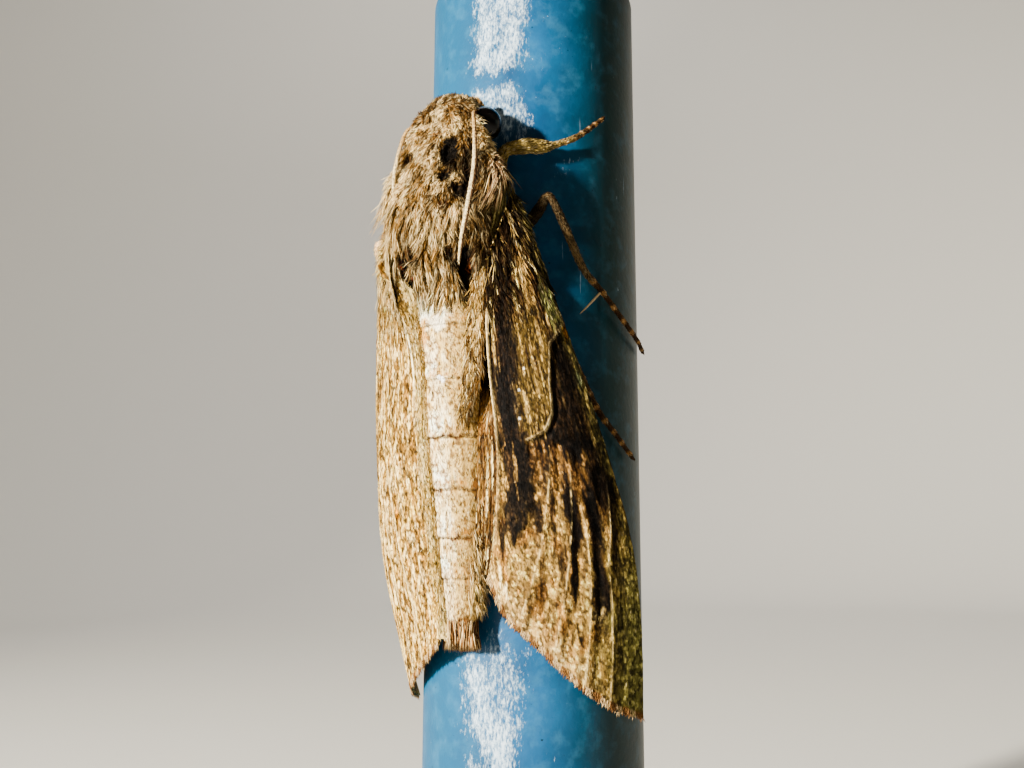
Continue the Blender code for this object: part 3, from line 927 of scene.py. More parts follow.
def brush():
    """The straight bristles at the tail, cut off square."""
    rng = np.random.default_rng(15)
    cover = ramp(skin_alongs, -22.6, -22.3) * (1 - ramp(skin_alongs, -21.5, -21.2))
    places, _, along = skin_places(cover * 230, 15)
    count = len(along)
    tone = hue("#7A5026") * varied(rng, 0.3, count)[:, None]
    draw = rng.random(count)
    tone = np.where((draw < 0.35)[:, None], hue("#D9B880"), tone)
    tone = np.where((draw > 0.75)[:, None], hue("#24140A"), tone)
    look = {
        "turn": rng.normal(0, 0.05, count), "lift": 0.3 * rng.random(count), "bend": 0.05,
        "length": np.clip(along + 23.9, 0.3, 3.0) + rng.normal(0, 0.1, count),
        "width": 0.1, "depth": 0.06, "tint": tone,
    }
    coat_piece("coat_brush", skin_surface, places, look, "tuft_brown")


def tail_flanks():
    """Hair that stands off the sides of the last segments."""
    rng = np.random.default_rng(16)
    side = ramp(np.abs(skin_turns), 55, 75) * (1 - ramp(np.abs(skin_turns), 120, 140))
    reach = ramp(skin_alongs, -20.9, -19.5) * (1 - ramp(skin_alongs, -15.5, -13.0))
    places, turn, along = skin_places(side * reach * 60, 16)
    count = len(turn)
    look = {
        "turn": rng.normal(0, 0.15, count), "lift": 0.5 + rng.normal(0, 0.12, count),
        "bend": 0.35, "length": 1.15 * varied(rng, 0.2, count), "width": 0.075, "depth": 0.03,
        "tint": pick(rng, body_tint(turn * 0.6, along), 0.35, 0.25),
    }
    coat_piece("coat_tail_flanks", skin_surface, places, look, "pale_abdomen")


for body_row in BODY_COATS:
    body_coat(*body_row)
brush()
tail_flanks()


# ---------------------------------------------------------------- eyes, tongue and palps

def eye(word, side):
    bm = bmesh.new()
    bmesh.ops.create_icosphere(
        bm, subdivisions=5, radius=EYE_RADIUS * MM, matrix=Matrix.Translation(eye_middle(side)),
    )
    name = "compound_eye_" + word
    new_piece(name, finished_mesh(name, bm), eye_finish, "eye_black", "eye_" + word)


def tube_surface(stations, na, nb):
    """A round tube along a smooth curve of x, height, along, radius, closed at both ends."""
    shares = np.linspace(0, 1, na)
    rows = along_curve(stations, shares)
    centres = world(rows[:, :3])
    radius = rows[:, 3] * MM
    heading = unit(np.gradient(centres, axis=0))
    first = np.cross(heading[0], (0.0, 0.0, 1.0))
    if np.linalg.norm(first) < 0.2:
        first = np.cross(heading[0], (1.0, 0.0, 0.0))
    side = [unit(first)]
    for way in heading[1:]:
        turned = side[-1] - way * (side[-1] @ way)
        side.append(unit(turned))
    side = np.array(side)
    up = np.cross(heading, side)
    turn = np.linspace(0, 2 * np.pi, nb)
    ends = np.sqrt(np.clip(np.minimum(shares, 1 - shares) * na / 3.0, 0, 1))
    radius = (radius * ends)[:, None, None] + 1e-8
    circle = side[:, None] * np.cos(turn)[:, None] + up[:, None] * np.sin(turn)[:, None]
    points = centres[:, None] + circle * radius
    return Surface(points, np.broadcast_to(centres[:, None], points.shape), wrap=True), shares


def mirrored(stations, side):
    return [(side * x, height, along, radius) for x, height, along, radius in stations]


def tongue():
    """The tongue coiled like a watch spring between the palps."""
    count, coils = 60, 2.6
    turns = np.linspace(0, coils * 2 * np.pi, count) + 1.2
    reach = np.linspace(1.12, 0.22, count)
    stations = np.stack([
        np.zeros(count), 11.8 + reach * np.cos(turns), 22.7 + reach * np.sin(turns),
        np.linspace(0.2, 0.1, count),
    ], -1)
    surface, _ = tube_surface(stations, 200, 13)
    tint = plain("#6A3F1E", surface.area)
    shell_piece("coiled_tongue", surface, tint, shell_finish, "tuft_brown", "proboscis")


PALP = (
    (1.3, 10.95, 22.0, 0.42), (1.25, 11.25, 22.5, 0.58), (1.2, 11.7, 23.0, 0.6),
    (1.15, 12.2, 23.5, 0.5), (1.1, 12.5, 23.85, 0.3),
)


def palp(word, side):
    """A short upturned palp beside the tongue, thick with flat scales."""
    surface, _ = tube_surface(mirrored(PALP, side), 40, 25)
    tint = plain("#9C7440", surface.area)
    # The palp's skin is painted darker than its scales, as shade beneath them.
    shell_piece(
        "palp_skin_" + word, surface, tint * 0.7, shell_finish, "scaled_body", "palp_" + word,
    )
    rng = np.random.default_rng(60 + side)
    places = surface.scatter(90.0, 61 + side)
    count = len(places[0])
    look = {
        "turn": rng.normal(0, 0.3, count), "lift": 0.2, "bend": 0.2, "width": 0.07, "depth": 0.03,
        "length": 0.4 * varied(rng, 0.2, count),
        "tint": pick(rng, surface.at(tint, *places), 0.3, 0.2),
    }
    coat_piece("coat_palp_" + word, surface, places, look, "scaled_body")


eye_finish = compound_eye()
shell_finish = scaled_skin("scaled_limb_shell", 0.25, 0.08, 0.04)
eye("l", -1)
eye("r", 1)
tongue()
palp("r", 1)
palp("l", -1)


# ---------------------------------------------------------------- feelers and legs

# Stations of x, height, along and radius. The left side's are mirrored from positive x.
ANTENNAE = {
    "r": ((2.5, 14.0, 21.4, 0.12), (3.2, 15.5, 20.9, 0.14), (3.85, 16.55, 19.9, 0.15),
          (4.5, 17.35, 17.4, 0.17), (4.85, 17.95, 14.8, 0.19), (4.7, 18.5, 11.7, 0.2),
          (4.4, 18.85, 9.0, 0.18), (4.15, 18.85, 7.3, 0.1), (4.05, 18.7, 6.6, 0.04)),
    "l": ((2.5, 14.0, 21.4, 0.12), (3.1, 15.6, 20.9, 0.13), (3.4, 16.45, 20.0, 0.14),
          (3.85, 16.9, 17.6, 0.16), (4.2, 16.85, 15.4, 0.16), (4.2, 16.3, 13.0, 0.15),
          (4.0, 15.9, 10.6, 0.13), (3.9, 15.7, 8.6, 0.08), (3.85, 15.6, 8.0, 0.04)),
}
LEGS = {
    "leg_fore_r": (1, ((2.7, 10.75, 15.8, 0.42), (2.9, 10.8, 17.4, 0.46), (3.5, 11.0, 18.9, 0.5),
                       (5.2, 10.4, 19.25, 0.62), (6.3, 9.4, 19.35, 0.55), (7.1, 8.5, 19.65, 0.3),
                       (8.4, 7.0, 20.6, 0.25), (9.3, 5.2, 22.2, 0.2), (9.8, 3.9, 23.4, 0.14))),
    "leg_hind_r": (1, ((3.5, 10.6, 9.0, 0.36), (5.4, 10.1, 7.6, 0.42), (7.3, 8.9, 4.2, 0.34),
                       (8.4, 7.5, 0.2, 0.3), (9.5, 5.6, -3.6, 0.24), (10.2, 3.2, -5.8, 0.2),
                       (10.6, 0.3, -7.8, 0.16))),
    "leg_mid_r": (1, ((3.5, 10.6, 12.2, 0.38), (5.2, 10.4, 12.0, 0.46), (7.0, 11.2, 12.8, 0.46),
                      (8.4, 11.9, 13.6, 0.3), (8.9, 10.6, 11.9, 0.34), (9.2, 7.3, 8.4, 0.3),
                      (9.9, 4.7, 6.6, 0.21), (10.5, 2.4, 4.8, 0.2), (10.6, -0.6, 3.4, 0.18),
                      (9.9, -3.8, 2.6, 0.14))),
    "leg_mid_l": (-1, ((3.5, 10.6, 12.0, 0.38), (5.2, 10.4, 11.6, 0.46), (7.4, 11.4, 11.8, 0.46),
                       (9.4, 12.3, 12.0, 0.3), (9.9, 10.8, 10.2, 0.34), (9.9, 7.4, 7.6, 0.3),
                       (10.1, 4.4, 5.8, 0.21), (10.6, 1.8, 4.2, 0.2), (10.5, -1.4, 2.8, 0.18),
                       (9.7, -4.4, 2.0, 0.14))),
}
for pair in ("leg_fore_", "leg_hind_"):
    LEGS[pair + "l"] = (-1, LEGS[pair + "r"][1])
HIND_SPUR = ((9.4, 5.7, -3.6, 0.09), (8.9, 6.2, -4.9, 0.08), (8.6, 6.3, -5.9, 0.03))
SPURS = (
    ("spur_mid_r", 1, ((9.8, 5.0, 6.7, 0.1), (9.3, 6.1, 5.5, 0.09), (8.7, 7.0, 4.4, 0.03))),
    ("spur_mid_l", -1, ((10.0, 4.8, 6.0, 0.1), (9.7, 6.0, 5.0, 0.09), (9.2, 6.9, 4.0, 0.03))),
    ("spur_hind_r", 1, HIND_SPUR),
    ("spur_hind_l", -1, HIND_SPUR),
)
FEELER_SEGMENTS, LEG_RINGS = 52, 15
# Fur colours of the legs; the left middle leg's is paler than the right one's, as painted light on
# the side towards the light.
LEG_FUZZ = {"leg_fore_r": "#86703A", "leg_fore_l": "#86703A", "leg_mid_l": "#C09C72"}
# Thighs painted darker as shade, in the body's shadow and under the wings.
SHADED_THIGHS = ("leg_mid_r", "leg_hind_r", "leg_hind_l")


def lashes():
    """Stiff pale hairs around the upper rim of each eye."""
    rng = np.random.default_rng(241)
    ring = 0.0
    for side in (-1, 1):
        away = eye_distance(side) / MM
        ring = ring + ramp(away, 1.45, 1.6) * (1 - ramp(away, 1.95, 2.15))
    places, turn, _ = skin_places(ring * 26, 241)
    count = len(turn)
    tone = hue("#D9BE8A") * varied(rng, 0.35, count)[:, None]
    look = {
        "turn": rng.normal(0, 0.5, count), "lift": 0.75 + rng.normal(0, 0.2, count), "bend": 0.5,
        "length": 0.75 * varied(rng, 0.25, count), "width": 0.06, "depth": 0.03,
        "tint": np.clip(tone, 0, 0.95),
    }
    coat_piece("coat_lashes", skin_surface, places, look, "scaled_body")


def spur(name, side, stations):
    """A thin stiff spur at the end of a shin."""
    surface, _ = tube_surface(mirrored(stations, side), 40, 11)
    shell_piece(name, surface, plain("#B79A72", surface.area), shell_finish, "leg_brown")


def feeler(word, side):
    """A feeler ringed by its many segments, brown at its root and beneath, cream above. The brown
    side, facing outwards and towards the pole, is partly painted shade.
    """
    surface, shares = tube_surface(mirrored(ANTENNAE[word], side), 330, 19)
    segments = np.sin(shares * FEELER_SEGMENTS * 2 * np.pi)
    surface.points = surface.raised(0.012 * segments[:, None] * np.ones(surface.area.shape))
    tint = blend_in(plain("#A98550", shares), ramp(shares, 0.2, 0.5), "#D2BC8C")
    tint = tint[:, None] * (0.85 + 0.15 * segments)[:, None, None]
    # Brown on the side facing outwards and towards the pole: the underside's own colour, and partly
    # painted shade.
    beneath = ramp(surface.normals @ np.array((side * 0.86, 0.5, 0.0)), 0.0, 0.45)
    tint = blend_in(tint * np.ones(surface.points.shape), beneath * 0.9, "#4A2412")
    shell_piece(
        "feeler_" + word, surface, tint, feeler_finish, "antenna_cream", "antenna_" + word,
    )
    rng = np.random.default_rng(70 + side)
    places = surface.scatter(60.0, 71 + side)
    count = len(places[0])
    tone = surface.at(tint, *places) * varied(rng, 0.2, count)[:, None]
    look = {
        "turn": rng.normal(0, 0.25, count), "lift": 0.14, "bend": 0.25,
        "length": 0.28, "width": 0.07, "depth": 0.02, "tint": np.clip(tone, 0, 0.95),
    }
    coat_piece("coat_feeler_" + word, surface, places, look, "antenna_cream")


def leg(name):
    """A leg with fur on its thigh and shin, and a thin foot in dark and pale rings. Some thighs are
    painted darker as shade.
    """
    side, stations = LEGS[name]
    na, nb = 150, 17
    surface, shares = tube_surface(mirrored(stations, side), na, nb)
    rows = along_curve(stations, shares)
    thin = ramp(0.32 - rows[:, 3], 0.0, 0.1)
    rings = 0.5 + 0.5 * np.sin(shares * LEG_RINGS * 2 * np.pi)
    surface.points = surface.raised((thin * 0.035 * rings)[:, None] * np.ones((na, nb)))
    tone = plain(LEG_FUZZ.get(name, "#57452A"), shares)
    if name in SHADED_THIGHS:
        tone = blend_in(tone, (1 - ramp(shares, 0.3, 0.42)) * 0.8, "#1C140B")
    tone = blend_in(tone, thin, "#33200F")
    tone = blend_in(tone, thin * ramp(rings, 0.7, 0.95) * 0.8, "#9A7040")
    mottle = grain(shares[:, None] * 60, np.linspace(0, 6, nb)[None], len(name))
    tint = tone[:, None] * (0.7 + 0.6 * mottle)[..., None]
    shell_piece("shell_" + name, surface, tint, shell_finish, "leg_brown", name)
    rng = np.random.default_rng(len(name) * 7 + side)
    a, b = places = surface.scatter(48.0, 90 + len(name) + side)
    count = len(a)
    tuft = pick(rng, surface.at(tint, a, b), 0.18, 0.15)
    thick = surface.at(rows[:, None, 3:] * np.ones((1, 2, 1)), a, np.zeros(count))[:, 0]
    look = {
        "turn": rng.normal(0, 0.2, count), "lift": 0.12 + 0.35 * rng.random(count) ** 4,
        "bend": 0.2, "length": 0.25 + 0.7 * np.clip(thick - 0.2, 0, 1), "width": 0.1,
        "depth": 0.03, "tint": tuft,
    }
    coat_piece("coat_" + name, surface, places, look, "leg_brown")


lashes()
for spur_row in SPURS:
    spur(*spur_row)
feeler_finish = scaled_skin("scaled_feeler_shell", 0.12, 0.12, 0.03)
feeler("r", 1)
feeler("l", -1)
for leg_name in LEGS:
    leg(leg_name)


# ---------------------------------------------------------------- wings

RIGHT_WING = {
    "costa": ((6.0, 13.8, 14.2), (6.9, 14.0, 12.6), (7.8, 13.9, 10.4), (9.1, 12.5, 5.2),
              (11.1, 9.9, -3.6), (12.7, 7.1, -12.5), (13.0, 5.4, -18.1), (12.5, 3.5, -23.9),
              (11.7, 1.8, -29.6)),
    "inner": ((5.2, 16.4, 7.4), (4.8, 15.9, 3.6), (4.6, 15.0, -1.0), (4.75, 14.2, -5.8),
              (4.6, 13.7, -10.0), (4.1, 13.2, -14.2), (3.2, 12.8, -17.9)),
    "tip": ((11.7, 1.8, -29.6), (10.6, 5.3, -28.4), (8.9, 7.9, -26.5), (6.5, 10.3, -23.5),
            (4.4, 11.9, -21.0), (3.2, 12.8, -17.9)),
}
LEFT_WING = {
    "costa": RIGHT_WING["costa"][:7] + ((12.4, 3.6, -23.9), (11.3, 2.2, -29.5)),
    "inner": ((5.1, 16.9, 7.4), (3.5, 17.6, 5.2), (1.9, 17.5, 2.6), (1.4, 16.8, -1.2),
              (1.6, 16.1, -6.8), (1.3, 15.5, -11.7), (1.1, 14.8, -16.0), (1.1, 14.0, -19.8),
              (1.3, 13.3, -23.4)),
    "tip": ((11.3, 2.2, -29.5), (9.3, 6.2, -28.4), (6.9, 9.0, -26.9), (4.0, 11.4, -25.0),
            (1.3, 13.3, -23.4)),
}
HIND_WING = {
    "costa": ((6.9, 12.1, 6.0), (8.7, 10.1, -3.0), (9.5, 8.3, -10.0), (9.1, 7.7, -17.0)),
    "inner": ((4.8, 13.3, 5.0), (4.6, 12.9, -3.0), (4.1, 12.5, -10.0), (3.5, 12.0, -16.0)),
    "tip": ((9.1, 7.7, -17.0), (6.5, 10.4, -18.0), (3.5, 12.0, -16.0)),
}
SPAN, CHORD = 46.0, 12.0

# Lines on a wing as shares from root to tip and from leading to inner edge.
LOBE_EDGE = ((0.142, 0.17), (0.208, 0.06), (0.275, 0.02), (0.300, 0.25), (0.367, 0.35),
             (0.433, 0.40), (0.475, 0.50), (0.512, 0.68))
VEINS = (
    ((0.504, 0.49), (0.679, 0.61), (0.833, 0.68), (0.925, 0.72), (1.0, 0.75)),
    ((0.512, 0.35), (0.729, 0.46), (0.900, 0.52), (1.0, 0.55)),
    ((0.600, 0.34), (0.725, 0.33), (0.908, 0.35), (1.0, 0.37)),
    ((0.554, 0.08), (0.712, 0.20), (0.904, 0.21), (1.0, 0.22)),
)


def coons(edges, side, na, nb):
    """A sheet stretched between a wing's three edges, in the moth's own directions."""
    a, b = np.linspace(0, 1, na), np.linspace(0, 1, nb)
    costa, inner = along_curve(edges["costa"], a), along_curve(edges["inner"], a)
    tip = along_curve(edges["tip"], b)
    root = costa[0] + (inner[0] - costa[0]) * b[:, None]
    end = costa[-1] + (inner[-1] - costa[-1]) * b[:, None]
    lengthwise = costa[:, None] + (inner - costa)[:, None] * b[None, :, None]
    crosswise = root[None] + (tip - root)[None] * a[:, None, None]
    corners = root[None] + (end - root)[None] * a[:, None, None]
    sheet = lengthwise + crosswise - corners
    sheet[..., 0] *= side
    return sheet


def line_distance(u, v, line):
    """Millimetres from each place on a wing to a line on it."""
    best = np.full(np.shape(u), 1e9)
    for (u0, v0), (u1, v1) in zip(line, line[1:]):
        du, dv = (u1 - u0) * SPAN, (v1 - v0) * CHORD
        pu, pv = (u - u0) * SPAN, (v - v0) * CHORD
        t = np.clip((pu * du + pv * dv) / (du * du + dv * dv), 0, 1)
        best = np.minimum(best, np.hypot(pu - t * du, pv - t * dv))
    return best


def in_lobe(u, v, softness):
    """1 inside the raised lobe at the wing's base, 0 outside it."""
    rows = np.array(LOBE_EDGE)
    edge = np.interp(u, rows[:, 0], rows[:, 1])
    inside = ramp((v - edge) * CHORD, -softness, softness)
    end = softness + 2.4 * ramp(v, 0.5, 0.75)
    return inside * (1 - ramp((u - 0.5) * SPAN, -end, end * 2)) * ramp(u, 0.12, 0.16)


# Marks on the right wing: centre as shares, half sizes in millimetres along and across,
# colour, strength. The darkest, at the base and along the inner side, are partly painted shade.
RIGHT_MARKS = (
    (0.10, 0.62, 5.0, 1.5, "#2E1A0B", 0.6),
    (0.15, 0.35, 2.3, 1.1, "#C89C5C", 0.85),
    (0.27, 0.72, 5.0, 1.4, "#24140A", 0.85),
    (0.42, 0.82, 4.6, 1.5, "#1C0F07", 0.9),
    (0.235, 0.13, 1.9, 1.0, "#66683A", 0.78),
    (0.285, 0.03, 0.6, 0.35, "#D08A2C", 0.9),
    (0.375, 0.05, 0.7, 0.25, "#7E8660", 0.75),
    (0.36, 0.18, 3.9, 1.3, "#1F1308", 0.85),
    (0.45, 0.25, 2.8, 1.9, "#261708", 0.8),
    (0.495, 0.32, 1.2, 3.6, "#160C05", 0.85),
    (0.56, 0.14, 2.4, 1.2, "#1A0F06", 0.85),
    (0.58, 0.80, 4.0, 2.2, "#180D05", 0.93),
    (0.66, 0.78, 3.0, 1.5, "#180D05", 0.9),
    (0.74, 0.84, 3.6, 1.2, "#1E1107", 0.9),
    (0.57, 0.66, 2.4, 0.35, "#54381A", 0.75),
    (0.61, 0.86, 2.8, 0.5, "#4A3218", 0.75),
    (0.60, 0.80, 3.2, 0.14, "#8A6A3C", 0.75),
    (0.68, 0.90, 2.4, 0.12, "#A07C48", 0.7),
    (0.54, 0.92, 2.6, 0.12, "#7A5A30", 0.7),
    (0.70, 0.68, 2.6, 0.5, "#241507", 0.8),
    (0.63, 0.42, 3.0, 0.5, "#1A0F06", 0.85),
    (0.86, 0.62, 2.6, 0.35, "#4A3014", 0.7),
    (0.80, 0.50, 3.4, 0.3, "#3A240F", 0.7),
    (0.83, 0.93, 2.6, 0.5, "#241408", 0.8),
    (0.67, 0.405, 3.2, 0.62, "#0F0703", 0.95),
    (0.77, 0.43, 3.4, 0.4, "#140A05", 0.92),
    (0.63, 0.25, 3.0, 0.75, "#120904", 0.95),
    (0.77, 0.275, 5.2, 0.62, "#140A05", 0.92),
    (0.72, 0.13, 7.0, 0.35, "#332A12", 0.6),
    (0.88, 0.14, 4.0, 0.3, "#4A4220", 0.4),
    (0.68, 0.55, 5.0, 0.3, "#2A190B", 0.75),
    (0.90, 0.41, 0.9, 0.22, "#3A2A12", 0.9),
    (0.83, 0.28, 0.6, 0.3, "#C4A66C", 0.7),
    (0.93, 0.90, 0.9, 0.25, "#F0D9A6", 0.9),
    (0.95, 0.84, 0.8, 0.2, "#F0D9A6", 0.7),
)
WHITE_DOTS = ((0.342, 0.58), (0.392, 0.67), (0.462, 0.71))


# The fringe and the outer margin are checked in this many pairs of dark and pale.
CHECKS = 11
# The raised lobe's edge is blurred by this many millimetres.
LOBE_SOFTNESS = 0.12
# The wing's root, as shares of its span, where long hair gives way to flat scales.
SHAG = (0.04, 0.34)


def peppered(tone, x, y, seed, dark, pale):
    """Fine dark and pale flecks, drawn out the way the scales lie."""
    fleck = ramp(mixed_grain(x * 5.6, y * 2.8, seed), 0.48, 0.64) * dark
    tone = tone * (1 - 0.74 * fleck[..., None])
    fleck = ramp(mixed_grain(x * 6.0, y * 2.6, seed + 1), 0.55, 0.72) * pale
    return blend_in(tone, fleck, np.minimum(tone * 3.0 + 0.015, hue("#F6E0AC")))


def blotch(tone, u, v, place, level, tall, wide, code, strength, limits):
    """A soft oval mark on a wing, fading between two limits of its own size."""
    away = np.hypot((u - place) * SPAN / tall, (v - level) * CHORD / wide)
    return blend_in(tone, (1 - ramp(away, *limits)) * strength, code)


def lobe_ridge_highlight_and_groove_shade(tone, u, v, x, y, lobe):
    """The pale ridge round the lobe, a painted highlight where its raised edge meets the light,
    with painted shade in the groove outside it.
    """
    ridge = line_distance(u, v, LOBE_EDGE)
    bright = (0.15 + 0.75 * ramp(u, 0.26, 0.34)) * (1 - 0.6 * ramp(u, 0.45, 0.5))
    bright = bright * (0.45 + 0.55 * ramp(mixed_grain(x * 2, y * 1.3, 67), 0.35, 0.6))
    # Painted highlight along the lobe's ridge.
    tone = blend_in(tone, (1 - ramp(ridge, 0.04, 0.22)) * bright, "#EED29C")
    # Painted shade in the groove outside the lobe.
    groove = hump(ridge, 0.4, 0.12) * (1 - lobe) * (1 - ramp(v, 0.5, 0.62))
    return blend_in(tone, groove * 0.6, "#160B05")


def vein_lines(tone, u, v, x, y):
    """Each vein pale where its scales are worn off, between two dark lines."""
    for vein in VEINS:
        away = line_distance(u, v, vein)
        tone = blend_in(tone, hump(away, 0.42, 0.2) * 0.45, "#2A1608")
        worn = 0.1 + 0.65 * ramp(mixed_grain(x * 2, y * 1.2, 65), 0.35, 0.6)
        worn = worn * ramp(u, vein[0][0], vein[0][0] + 0.1)
        tone = blend_in(tone, (1 - ramp(away, 0.0, 0.1)) * worn, "#E2C68C")
    return tone


def right_wing_tint(u, v):
    """Dark at the base round a tawny lobe, then streaked tawny with dark dashes, olive ahead. This
    wing lies on the side turned from the light, and its dark base, inner side and leading edge are
    partly painted shade.
    """
    x, y = v * CHORD, u * SPAN
    u0, v0 = u, v
    u = u + (mixed_grain(x * 1.2, y * 0.9, 51) - 0.5) * 0.012
    u = u + (grain(x * 5.0, y * 0.3, 50) - 0.5) * 0.05
    v = v + (mixed_grain(x * 1.4, y * 0.6, 53) - 0.5) * 0.05
    v = v + (grain(x * 4.0, y * 0.9, 52) - 0.5) * 0.035
    tone = plain("#8A6234", u)
    tone = mottled(tone, x, y, 3.0, 0.4, 55, 0.35, 0.65, 0.85, "#3C230E")
    # The base half is darkened: partly the wing's own dark base, partly painted shade.
    base = 1 - ramp(u, 0.46, 0.56)
    tone = blend_in(tone, base * 0.75, "#281708")
    lobe = in_lobe(u, v, LOBE_SOFTNESS)
    olive = ramp(0.29 - np.abs(v - 0.50), 0.0, 0.12)
    olive = olive * ramp(mixed_grain(x * 3.2, y * 0.5, 58), 0.2, 0.5)
    tone = blend_in(tone, lobe * olive * ramp(u, 0.16, 0.26) * 0.85, "#6A5428")
    streaks = base * ramp(mixed_grain(x * 3.8, y * 0.32, 57), 0.57, 0.7)
    tone = blend_in(tone, streaks * (0.7 + 0.25 * (1 - ramp(u, 0.16, 0.26))), "#B8965C")
    outer = ramp(u * SPAN + v * 3.0, 0.56 * SPAN, 0.76 * SPAN) * ramp(u, 0.51, 0.56)
    patchy = 0.4 + 0.55 * ramp(mixed_grain(x * 2.6, y * 0.5, 59), 0.3, 0.6)
    tone = blend_in(tone, outer * patchy, "#B08C50")
    rusty = ramp(mixed_grain(x * 1.3, y * 0.5, 60), 0.52, 0.7) * ramp(u, 0.62, 0.75)
    tone = blend_in(tone, rusty * 0.6, "#96602A")
    tone = blend_in(tone, ramp(u, 0.9, 1.0) * 0.6 * ramp(v, 0.2, 0.5), "#DDB676")
    # Dark olive along the leading edge: partly painted shade on the side turned from the light.
    tone = blend_in(tone, (1 - ramp(v, 0.04, 0.18)) * 0.75, "#524C26")
    leading = (1 - ramp(v, 0.12, 0.42)) * ramp(u, 0.6, 0.85)
    tone = blend_in(tone, leading * 0.8, "#7E7A42")
    broken = 0.93 + 0.07 * ramp(grain(x * 5.0, y * 0.8, 63), 0.25, 0.6)
    for place, level, tall, wide, code, strength in RIGHT_MARKS:
        away = np.hypot((u - place) * SPAN / tall, (v - level) * CHORD / wide)
        full = min(1.0, strength * 1.09)
        tone = blend_in(tone, (1 - ramp(away, 0.6, 1.25)) * full * broken, code)
    tone = peppered(tone, x, y, 61, 0.85, 0.7)
    tone = vein_lines(tone, u0, v0, x, y)
    tone = lobe_ridge_highlight_and_groove_shade(tone, u0, v0, x, y, lobe)
    # A pale line along the rolled inner edge: painted highlight where the raised edge meets the
    # light.
    roll = ramp(v0, 0.95, 0.97) * (1 - ramp(u, 0.86, 0.92)) * ramp(u, 0.14, 0.2)
    roll = roll * (1 - 0.8 * ramp(u, 0.48, 0.58))
    roll = roll * (0.55 + 0.4 * ramp(mixed_grain(x * 3, y * 1.6, 69), 0.35, 0.6))
    tone = blend_in(tone, roll, "#E8CB92")
    check = 0.5 + 0.5 * np.sin(v * CHECKS * 2 * np.pi)
    tone = blend_in(tone, ramp(u0, 0.982, 0.996) * ramp(check, 0.4, 0.6) * 0.7, "#7A4316")
    for place, level in WHITE_DOTS:
        away = np.hypot((u0 - place) * SPAN, (v0 - level) * CHORD)
        tone = blend_in(tone, 1 - ramp(away, 0.06, 0.17), "#FFFFFF")
    return richer(tone, 1.55, 1.12, 0.64)


def left_wing_tint(u, v):
    """Sunlit straw, streaked brown and pale, with two brown spots."""
    x, y = v * CHORD, u * SPAN
    v0 = v
    v = v + (mixed_grain(x * 1.4, y * 0.6, 73) - 0.5) * 0.03
    tone = plain("#A98550", u)
    tone = mottled(tone, x, y, 2.6, 0.5, 75, 0.35, 0.65, 0.7, "#6C4A28")
    tone = mottled(tone, x, y, 3.2, 0.8, 76, 0.5, 0.75, 0.7, "#EACE98")
    tone = blotch(tone, u, v, 0.375, 0.2, 1.8, 1.6, "#5A3A18", 0.6, (0.5, 1.3))
    tone = blotch(tone, u, v, 0.64, 0.62, 0.9, 0.3, "#94601F", 0.8, (0.5, 1.2))
    root = (1 - ramp(u, 0.1, 0.2)) * ramp(v, 0.4, 0.7)
    root = root * ramp(mixed_grain(x * 1.6, y * 1.2, 77), 0.4, 0.6)
    tone = blend_in(tone, root * 0.5, "#4E3018")
    tone = peppered(tone, x, y, 81, 1.0, 0.7)
    for vein in VEINS:
        away = line_distance(u, v0, vein)
        tone = blend_in(tone, (1 - ramp(away, 0.04, 0.18)) * 0.5, "#EBD2A0")
    tone = blend_in(tone, ramp(v0, 0.95, 0.98) * hump(u, 0.27, 0.09) * 0.9, "#F7E6C2")
    return richer(tone, 1.55, 1.3, 0.56)


def wing_relief(u, v, lobed):
    """Veins, pleats between them, the lobe's step and the rolled inner edge, in millimetres."""
    x, y = v * CHORD, u * SPAN
    height = 0.16 * np.sin(np.pi * v) * np.sin(np.pi * np.clip(u, 0, 1))
    for vein in VEINS:
        away = line_distance(u, v, vein)
        height = height + 0.04 * hump(away, 0.0, 0.09) - 0.1 * hump(away, 0.8, 0.4)
    if lobed:
        inside = in_lobe(u, v, LOBE_SOFTNESS)
        ridge = line_distance(u, v, LOBE_EDGE)
        height = height + 0.34 * inside + 0.07 * hump(ridge, 0.0, 0.11) * ramp(u, 0.24, 0.3)
        groove = hump(ridge, 0.5, 0.2) * (1 - inside) * (1 - ramp(v, 0.5, 0.62))
        height = height - 0.06 * groove
    roll = ramp(v, 0.93, 1.0) * (1 - ramp(u, 0.8, 0.9)) * ramp(u, 0.1, 0.2)
    height = height + 0.3 * roll * np.sin(np.pi * np.clip((v - 0.93) / 0.07, 0, 1) * 0.75)
    if not lobed:
        height = height - 0.8 * (1 - ramp(u, 0.05, 0.14)) * ramp(v, 0.7, 1.0)
        height = height - 0.3 * (1 - ramp(u, 0.0, 0.03))
    height = height + 0.07 * (mixed_grain(x * 1.3, y * 0.25, 91) - 0.5)
    return height + 0.05 * (mixed_grain(x * 4.0, y * 0.8, 93) - 0.5)


def wing_sheet(name, node, side, edges, na, nb, relief, tinting, wall):
    """A wing's outer face with its relief, and a wall of some millimetres behind it."""
    u, v = share_grid(na, nb)
    outside = np.array((side * 0.7, -0.7, 0.0))
    flat = Surface(world(coons(edges, side, na, nb)), outside)
    surface = Surface(flat.raised(relief(u, v)), outside)
    mesh = surface_mesh(name, surface, tinting(u, v))
    thicken(new_piece(name, mesh, wing_finish, "wing_scales", node), wall)
    return surface


